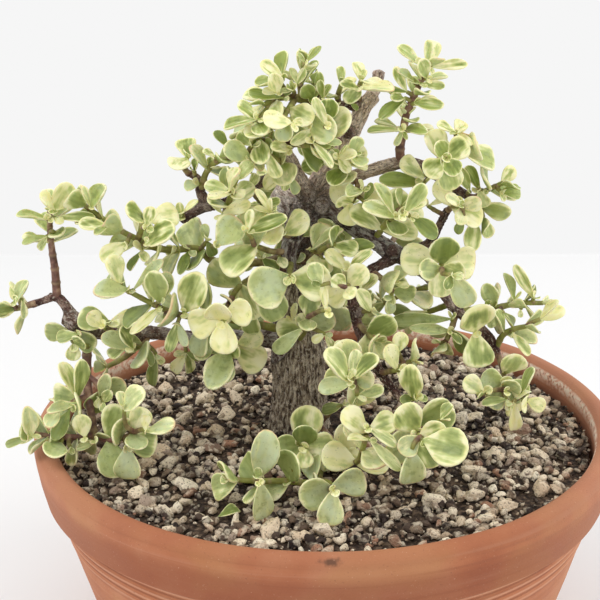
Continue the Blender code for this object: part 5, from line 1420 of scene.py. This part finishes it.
def scatter(name, count, sizes, bias, sunk, look, seed, placed=(), bare=()):
    """Grains of many sizes lying in the soil's surface: size in mm, more small ones as bias grows.

    placed are grains at given places, each (x, y, size, hue), and bare the patches where a share of
    the other grains is left out, each (x, y, reach, share).
    """
    draw = random.Random(seed)
    kinds = [(least, *stone_shapes(shapes, subdivisions, seed + shift))
             for least, shapes, subdivisions, shift in GRAIN_KINDS]
    pile = Pile()
    for x, y, size, hue in grain_spots(count, sizes, bias, seed, draw, placed, bare):
        radius = size / 2 * MM
        _, shapes, faces = [kind for kind in kinds if size > kind[0]][-1]
        shape = draw.choice(shapes) * np.array([draw.uniform(0.85, 1.35), draw.uniform(0.6, 1.0),
                                                draw.uniform(0.5, 0.85)])
        tilt = Matrix.Rotation(draw.uniform(0, 6.3), 3, "Z")
        for axis in "XY":
            tilt = tilt @ Matrix.Rotation(draw.uniform(-0.5, 0.5), 3, axis)
        height = soil_height(x, y) + radius * draw.uniform(*sunk)
        corners = shape @ np.array(tilt).T * radius + np.array([x, y, height])
        mark = np.tile([hue, draw.random(), draw.random()], (len(corners), 1))
        pile.add(corners, faces, grain_look=mark)
    pile.piece(name, [look])


def tint(red, green, blue):
    """A linear colour from picture values of 0 to 255."""
    return tuple(((value / 255 + 0.055) / 1.055) ** 2.4 for value in (red, green, blue)) + (1.0,)


class Look:
    """A procedural material, made of small steps that each give back a socket."""

    def __init__(self, name, **constants):
        self.material = bpy.data.materials.new(name)
        self.material.use_nodes = True
        self.tree = self.material.node_tree
        self.shader = self.tree.nodes["Principled BSDF"]
        self.place = self.add("TexCoord").outputs["Object"]
        for socket, value in constants.items():
            self.shader.inputs[socket.replace("_", " ")].default_value = value

    def add(self, kind, inputs=None, **settings):
        node = self.tree.nodes.new("ShaderNode" + kind)
        for name, value in settings.items():
            setattr(node, name, value)
        for socket, value in (inputs or {}).items():
            self.feed(node.inputs[socket], value)
        return node

    def feed(self, socket, value):
        if isinstance(value, bpy.types.NodeSocket):
            self.tree.links.new(value, socket)
        else:
            socket.default_value = value

    def marks(self, name):
        """The three values of a mark carried by the mesh."""
        vector = self.add("Attribute", attribute_name=name).outputs["Vector"]
        return self.add("SeparateXYZ", {0: vector}).outputs

    def axes(self):
        """The place's three coordinates."""
        return self.add("SeparateXYZ", {0: self.place}).outputs

    def vector(self, x, y, z):
        return self.add("CombineXYZ", {0: x, 1: y, 2: z}).outputs[0]

    def maths(self, operation, *values):
        return self.add("Math", dict(enumerate(values)), operation=operation).outputs[0]

    def vector_maths(self, operation, *values):
        return self.add("VectorMath", dict(enumerate(values)), operation=operation).outputs

    def scaled(self, vector, x, y, z):
        return self.vector_maths("MULTIPLY", vector, (x, y, z))[0]

    def times(self, a, b):
        return self.maths("MULTIPLY", a, b)

    def plus(self, a, b):
        return self.maths("ADD", a, b)

    def spread(self, value, low, high, to_low=0.0, to_high=1.0):
        """A value eased from one range to another."""
        return self.add("MapRange", {0: value, 1: low, 2: high, 3: to_low, 4: to_high},
                        interpolation_type="SMOOTHSTEP").outputs[0]

    def noise(self, vector, scale, detail=3.0):
        return self.add("TexNoise", {"Vector": vector, "Scale": scale, "Detail": detail}).outputs["Fac"]

    def cracks(self, vector, scale):
        cells = self.add("TexVoronoi", {"Vector": vector, "Scale": scale}, feature="DISTANCE_TO_EDGE")
        return cells.outputs["Distance"]

    def warped(self, vector, amount):
        """Places pushed about unevenly."""
        push = self.add("TexNoise", {"Vector": vector, "Scale": 1.3, "Detail": 2.0}).outputs["Color"]
        return self.vector_maths("ADD", vector, self.scaled(push, amount, amount, amount))[0]

    def blend(self, share, under, over):
        """One colour laid over another."""
        node = self.add("Mix", data_type="RGBA")
        self.feed(node.inputs[0], share)
        self.feed(node.inputs[6], under)
        self.feed(node.inputs[7], over)
        return node.outputs[2]

    def layers(self, colour, *steps):
        """Colours laid over one another.

        Each is (value, low, high, share at low, share at high, red, green, blue).
        """
        for value, low, high, to_low, to_high, *over in steps:
            colour = self.blend(self.spread(value, low, high, to_low, to_high), colour, tint(*over))
        return colour

    def ramp(self, value, *stops):
        """A colour from a value, by (place, red, green, blue) stops."""
        node = self.add("ValToRGB", {0: value})
        elements = node.color_ramp.elements
        while len(elements) < len(stops):
            elements.new(0.5)
        for element, (place, *colour) in zip(elements, stops):
            element.position = place
            element.color = tint(*colour)
        return node.outputs[0]

    def bump(self, height, distance, under=None):
        inputs = {"Height": height, "Distance": distance}
        if under:
            inputs["Normal"] = under
        return self.add("Bump", inputs).outputs[0]

    def finish(self, colour, roughness, normal):
        self.feed(self.shader.inputs["Base Color"], colour)
        self.feed(self.shader.inputs["Roughness"], roughness)
        self.feed(self.shader.inputs["Normal"], normal)
        return self.material


def leaf_material():
    """A thick leaf: green inside and cream round the rim, how far in is given leaf by leaf."""
    look = Look("leaf_skin", Subsurface_Weight=0.1, Subsurface_Scale=0.002)
    along, across, seed = look.marks("leaf_spot")
    rim, cream, under = look.marks("leaf_look")
    shift = look.times(seed, 57.0)
    streak = look.noise(look.vector(look.times(along, 1.2), look.times(across, 3.2), shift), 1.0)
    patch = look.vector(look.times(along, 2.2), look.times(across, 1.5), look.plus(shift, 9.0))
    blotch = look.noise(patch, 1.0, 2.0)
    uneven = look.plus(look.times(look.plus(blotch, -0.5), 1.8), look.times(look.plus(streak, -0.5), 0.9))
    edge = look.times(rim, look.times(rim, rim))
    amount = look.plus(look.plus(edge, uneven), look.times(look.plus(cream, -0.16), 1.3))
    green = look.ramp(look.plus(look.times(streak, 0.45), look.times(seed, 0.6)),
                      (0.15, 112, 126, 62), (0.36, 144, 157, 86), (0.58, 174, 184, 120),
                      (0.85, 200, 206, 152))
    height = look.axes()[2]
    fresh = look.ramp(look.plus(look.times(streak, 0.5), look.times(seed, 0.5)),
                      (0.25, 116, 134, 44), (0.5, 158, 174, 74), (0.8, 194, 204, 110))
    green = look.blend(look.spread(height, 0.17, 0.25, 0.1, 0.7), green, fresh)
    fleck = look.noise(look.place, 330.0, 3.0)
    green = look.layers(green, (fleck, 0.52, 0.66, 0.0, 0.4, 96, 116, 48))
    bloom = look.noise(look.place, 110.0, 4.0)
    dusty = look.times(look.spread(bloom, 0.42, 0.66), look.spread(seed, 0.4, 0.85, 0.05, 0.7))
    green = look.blend(dusty, green, tint(204, 216, 176))
    lime = look.blend(seed, tint(196, 206, 124), tint(214, 220, 154))
    pale = look.blend(look.spread(blotch, 0.35, 0.65), tint(238, 234, 162), tint(248, 244, 196))
    colour = look.blend(look.spread(amount, 0.05, 0.55, 0.0, 0.8), green, lime)
    colour = look.blend(look.spread(amount, 0.36, 0.84), colour, pale)
    colour = look.layers(colour, (rim, 0.85, 1.0, 0.0, 0.4, 240, 238, 200))
    colour = look.blend(look.times(under, 0.25), colour, tint(166, 180, 122))
    tip = look.times(look.spread(along, 0.8, 1.0), look.spread(seed, 0.78, 0.9))
    tip = look.times(look.spread(rim, 0.75, 1.0), look.times(tip, 0.5))
    colour = look.blend(tip, colour, tint(214, 142, 112))
    speck = look.noise(look.place, 1100.0, 1.0)
    speck = look.times(look.spread(speck, 0.68, 0.74), look.spread(seed, 0.3, 0.6, 0.0, 0.4))
    colour = look.blend(speck, colour, tint(84, 92, 50))
    grain = look.noise(look.place, 420.0, 3.0)
    return look.finish(colour, look.spread(grain, 0.2, 0.8, 0.34, 0.52), look.bump(grain, 0.0002))


def twig_material():
    """Young stems: brown skin turning green towards the tips, with pale ring scars."""
    look = Look("twig_skin")
    green, _, scar = look.marks("leaf_spot")
    mottle = look.noise(look.place, 260.0, 4.0)
    brown = look.ramp(mottle, (0.35, 86, 54, 48), (0.52, 128, 90, 78), (0.7, 184, 150, 128))
    olive = look.ramp(mottle, (0.3, 112, 112, 48), (0.55, 140, 142, 66), (0.75, 168, 168, 98))
    share = look.spread(look.plus(green, look.times(mottle, 0.5)), 0.45, 0.95)
    colour = look.blend(share, brown, olive)
    colour = look.blend(look.times(scar, 0.5), colour, tint(176, 150, 116))
    return look.finish(colour, look.spread(mottle, 0.2, 0.8, 0.45, 0.7), look.bump(mottle, 0.0003))


def bark_material():
    """Fibrous trunk bark, cracked lilac-grey limbs and smooth maroon ends, told apart by girth, with
    painted shade in the furrows, on low limbs and round the crotch.
    """
    look = Look("bark", Specular_IOR_Level=0.25)
    grain = look.add("Attribute", attribute_name="bark_grain").outputs["Vector"]
    girth, furrow, ring = look.marks("bark_look")
    fibre = look.noise(look.scaled(grain, 0.9, 0.9, 0.22), 1.0, 6.0)
    mottle = look.noise(look.place, 170.0, 5.0)
    fleck = look.noise(look.scaled(grain, 1.0, 1.0, 0.6), 1.3, 3.0)
    plates = look.cracks(look.warped(look.scaled(grain, 0.5, 0.5, 0.22), 1.6), 1.0)
    trunk = look.ramp(fibre, (0.38, 88, 74, 62), (0.48, 156, 139, 119), (0.6, 220, 206, 184))
    coarse = look.noise(look.scaled(grain, 0.5, 0.5, 0.26), 1.0, 5.0)
    limb = look.ramp(look.plus(look.times(coarse, 0.75), look.times(mottle, 0.25)),
                     (0.41, 62, 49, 52), (0.465, 150, 132, 132), (0.53, 255, 250, 244))
    thin = look.ramp(mottle, (0.35, 70, 44, 42), (0.52, 114, 79, 73), (0.68, 190, 160, 146))
    across, ahead, height = look.axes()
    limb = look.layers(limb, (height, 0.212, 0.235, 0.0, 0.7, 255, 224, 198),
                       (across, -0.08, -0.06, 0.5, 0.0, 148, 112, 84),
                       # painted shade: limbs low down, under the crown, are darkened towards brown
                       (height, 0.165, 0.185, 0.5, 0.0, 112, 84, 76))
    colour = look.blend(look.spread(girth, 2.3, 3.3), thin, limb)
    trunk = look.layers(trunk, (height, 0.185, 0.205, 0.0, 0.4, 124, 102, 92))
    colour = look.blend(look.spread(girth, 6.4, 9.5), colour, trunk)
    colour = look.layers(colour, (fleck, 0.57, 0.64, 0.0, 0.7, 226, 215, 200),
                         (fleck, 0.34, 0.42, 0.6, 0.0, 50, 39, 36),
                         (plates, 0.0, 0.07, 0.5, 0.0, 62, 50, 45),
                         # painted shade: the deepest furrows are darkened
                         (furrow, -0.9, -0.2, 0.45, 0.0, 56, 46, 40))
    colour = look.blend(look.times(ring, 0.3), colour, tint(182, 162, 142))
    # painted shade: the front of the wood round the crotch, under the crown, is darkened
    crotch = look.times(look.spread(height, 0.188, 0.203), look.spread(ahead, 0.0, 0.016, 0.5, 0.0))
    crotch = look.times(crotch, look.spread(height, 0.225, 0.24, 1.0, 0.0))
    colour = look.blend(crotch, colour, tint(86, 68, 62))
    edge = look.spread(plates, 0.0, 0.2)
    normal = look.bump(fibre, 0.002, look.bump(edge, 0.0004, look.bump(fleck, 0.0007)))
    return look.finish(colour, look.spread(mottle, 0.3, 0.7, 0.7, 0.9), normal)


def terracotta_material():
    """Fired clay: throwing lines and ridges, bloom, specks, a stain and a pale, crusted inside, with
    painted light and shade on the rim, collar, sides, ridges and the groove under the collar.
    """
    look = Look("terracotta", Specular_IOR_Level=0.3)
    inner, height, _ = look.marks("bowl_look")
    broad = look.noise(look.place, 13.0, 3.0)
    patches = look.noise(look.place, 60.0, 5.0)
    lines = look.noise(look.scaled(look.place, 7.0, 7.0, 380.0), 1.0, 3.0)
    fine = look.noise(look.place, 1300.0, 2.0)
    colour = look.ramp(look.plus(look.times(broad, 0.6), look.times(patches, 0.4)),
                       (0.38, 168, 99, 67), (0.5, 185, 117, 82), (0.62, 198, 138, 104))
    ochre = look.noise(look.place, 26.0, 3.0)
    colour = look.layers(colour, (lines, 0.52, 0.72, 0.0, 0.35, 204, 148, 118),
                         (lines, 0.3, 0.42, 0.35, 0.0, 150, 92, 66),
                         (ochre, 0.5, 0.64, 0.0, 0.45, 188, 132, 84),
                         # painted shade: the top of the rim is darkened, as it faces the light
                         (height, 0.93, 0.99, 0.0, 0.5, 150, 92, 64))
    # painted shade: the collar's band is darkened, as it catches more light than the body below
    collar = look.times(look.spread(height, 0.76, 0.8), look.spread(height, 0.88, 0.96, 1.0, 0.0))
    colour = look.blend(look.times(collar, 0.6), colour, tint(138, 76, 52))
    # painted light: the bowl is lighter towards its left and right, where light wraps round it
    side = look.maths("ABSOLUTE", look.axes()[0])
    colour = look.layers(colour, (side, 0.06, 0.13, 0.0, 0.3, 204, 154, 126))
    # painted highlights on the ridges' crests and painted shade in their troughs
    wave = look.maths("SINE", look.plus(look.times(height, -TURN * BOWL_HEIGHT / RIDGE_PITCH), RIDGE_TURN))
    ridged = look.times(look.spread(height, 0.6, 0.66), look.spread(height, 0.765, 0.775, 1.0, 0.0))
    crest_highlight = look.times(ridged, look.spread(wave, 0.4, 1.0, 0.0, 0.5))
    trough_shade = look.times(ridged, look.spread(wave, -1.0, -0.4, 0.5, 0.0))
    colour = look.blend(crest_highlight, colour, tint(220, 168, 138))
    colour = look.blend(trough_shade, colour, tint(128, 74, 52))
    # painted shadow, with dirt, in the groove under the collar's foot
    groove_shadow_and_dirt = look.times(look.spread(height, 0.758, 0.77), look.spread(height, 0.779, 0.785, 0.75, 0.0))
    colour = look.blend(groove_shadow_and_dirt, colour, tint(104, 60, 44))
    off_stain = look.vector_maths("SUBTRACT", look.place, COLLAR_STAIN)[0]
    reach = look.vector_maths("LENGTH", look.scaled(off_stain, 0.45, 1.0, 1.2))["Value"]
    reach = look.plus(reach, look.times(look.noise(look.place, 420.0, 4.0), 0.004))
    colour = look.layers(colour, (reach, 0.0024, 0.0044, 0.75, 0.0, 70, 52, 42),
                         (fine, 0.66, 0.74, 0.0, 0.45, 120, 78, 60),
                         (fine, 0.25, 0.31, 0.35, 0.0, 228, 192, 166))
    rust = look.ramp(patches, (0.38, 206, 150, 124), (0.5, 232, 184, 158), (0.62, 244, 206, 184))
    crust = look.noise(look.place, 460.0, 4.0)
    rust = look.layers(rust, (crust, 0.47, 0.56, 0.0, 0.85, 248, 234, 214),
                       (crust, 0.36, 0.43, 0.6, 0.0, 84, 56, 42))
    colour = look.blend(look.times(inner, 0.9), colour, rust)
    relief = look.plus(look.times(fine, 0.35), look.plus(look.times(lines, 0.6), look.times(patches, 0.5)))
    return look.finish(colour, look.spread(patches, 0.3, 0.7, 0.74, 0.9), look.bump(relief, 0.0005))


def soil_material():
    """Dark, damp potting soil."""
    look = Look("soil", Specular_IOR_Level=0.2)
    crumbs = look.noise(look.place, 420.0, 6.0)
    colour = look.ramp(crumbs, (0.35, 38, 30, 26), (0.52, 74, 60, 50), (0.7, 126, 106, 88))
    return look.finish(colour, look.spread(crumbs, 0.2, 0.8, 0.8, 0.95), look.bump(crumbs, 0.0012))


def grain_material(name, *stops):
    """Pumice or crumbs: each grain's own tone, with dust, and painted shade in the pores."""
    look = Look(name, Specular_IOR_Level=0.2)
    hue, tone, _ = look.marks("grain_look")
    pores = look.noise(look.place, 1000.0, 4.0)
    dust = look.noise(look.place, 260.0, 3.0)
    colour = look.layers(look.ramp(hue, *stops), (tone, 0.0, 1.0, 0.25, 0.0, 78, 64, 54),
                         (dust, 0.47, 0.62, 0.0, 0.5, 246, 232, 206),
                         # painted shade: the pores are darkened
                         (pores, 0.35, 0.45, 0.6, 0.0, 66, 52, 42))
    return look.finish(colour, look.spread(dust, 0.2, 0.8, 0.8, 0.95), look.bump(pores, 0.0009))


def add_floor():
    """A pale table that ends where the pale wall begins."""
    bpy.ops.mesh.primitive_plane_add(size=1, location=(0, TABLE_BACK / 2 - TABLE_FRONT / 2, 0))
    floor = bpy.context.object
    floor.name = "floor"
    floor.scale = (TABLE_WIDTH, TABLE_BACK + TABLE_FRONT, 1)
    look = Look("floor_paper")
    shade = look.noise(look.place, 3.0, 2.0)
    paper = look.ramp(shade, (0.2, 231, 231, 231), (0.8, 234, 234, 234))
    finish = look.finish(paper, look.spread(shade, 0.0, 1.0, 0.6, 0.7), look.bump(shade, 0.0001))
    floor.data.materials.append(finish)


def add_light(name, place, size, power):
    """A square soft box that faces the bush."""
    light = linked(name, bpy.data.lights.new(name, "AREA"))
    light.data.size = size
    light.data.energy = power
    light.location = place
    light.rotation_euler = (LIGHT_AIM - Vector(place)).to_track_quat("-Z", "Y").to_euler()


def add_camera():
    """The camera at the layout's viewpoint."""
    camera = linked("camera", bpy.data.cameras.new("camera"))
    camera.data.sensor_width = SENSOR
    camera.data.lens = SENSOR * FOCAL / PICTURE
    camera.data.clip_end = 20
    camera.matrix_world = Matrix.Translation(EYE) @ Matrix((RIGHT, UP, -FORWARD)).transposed().to_4x4()
    bpy.context.scene.camera = camera


def add_studio():
    """Camera, pale surroundings and soft light."""
    add_camera()
    add_floor()
    world = bpy.data.worlds.new("surroundings")
    world.use_nodes = True
    world.node_tree.nodes["Background"].inputs["Color"].default_value = tint(*WALL_COLOUR)
    bpy.context.scene.world = world
    bpy.context.scene.view_settings.view_transform = "Standard"
    for name, light in LIGHTS.items():
        add_light(name, *light)


def build_gravel(walls):
    """Pale and dark grains: the ones that stand out, the large ones of the frame, then loose ones."""
    pumice = grain_material("pumice", *PUMICE_TONES)
    crumb = grain_material("soil_crumb", *CRUMB_TONES)
    placed = [(*soil_spot(across, down)[:2], size, hue) for across, down, size, hue in NAMED_STONES]
    placed += [(x, y, 2 * radius / MM, turn / 7) for x, y, radius, turn in stone_places(walls)]
    dropped = fallen_leaf()
    middle = dropped["root"] + dropped["line"] * dropped["length"] / 2
    clearing = (middle.x, middle.y, DROPPED_CLEAR, 1)
    patches = [(*soil_spot(across, down)[:2], reach * MM, BARE_SHARE)
               for across, down, reach in BARE_PATCHES]
    scatter("pumice", PUMICE, PUMICE_SIZES, 2.3, (0.1, 0.6), pumice, 3, placed, [clearing, *patches])
    scatter("soil_crumbs", CRUMBS, CRUMB_SIZES, 1.7, (0.2, 0.8), crumb, 8, bare=[clearing])


def build():
    """The bowl, the soil and the bush."""
    leaf = leaf_material()
    build_bowl(terracotta_material())
    build_soil_bed(soil_material())
    shoots, leaves, walls = grow_bush()
    build_gravel(walls)
    build_wood(bark_material())
    build_foliage(shoots, leaves, leaf, twig_material())
    build_fallen_leaf(leaf)


add_studio()
build()
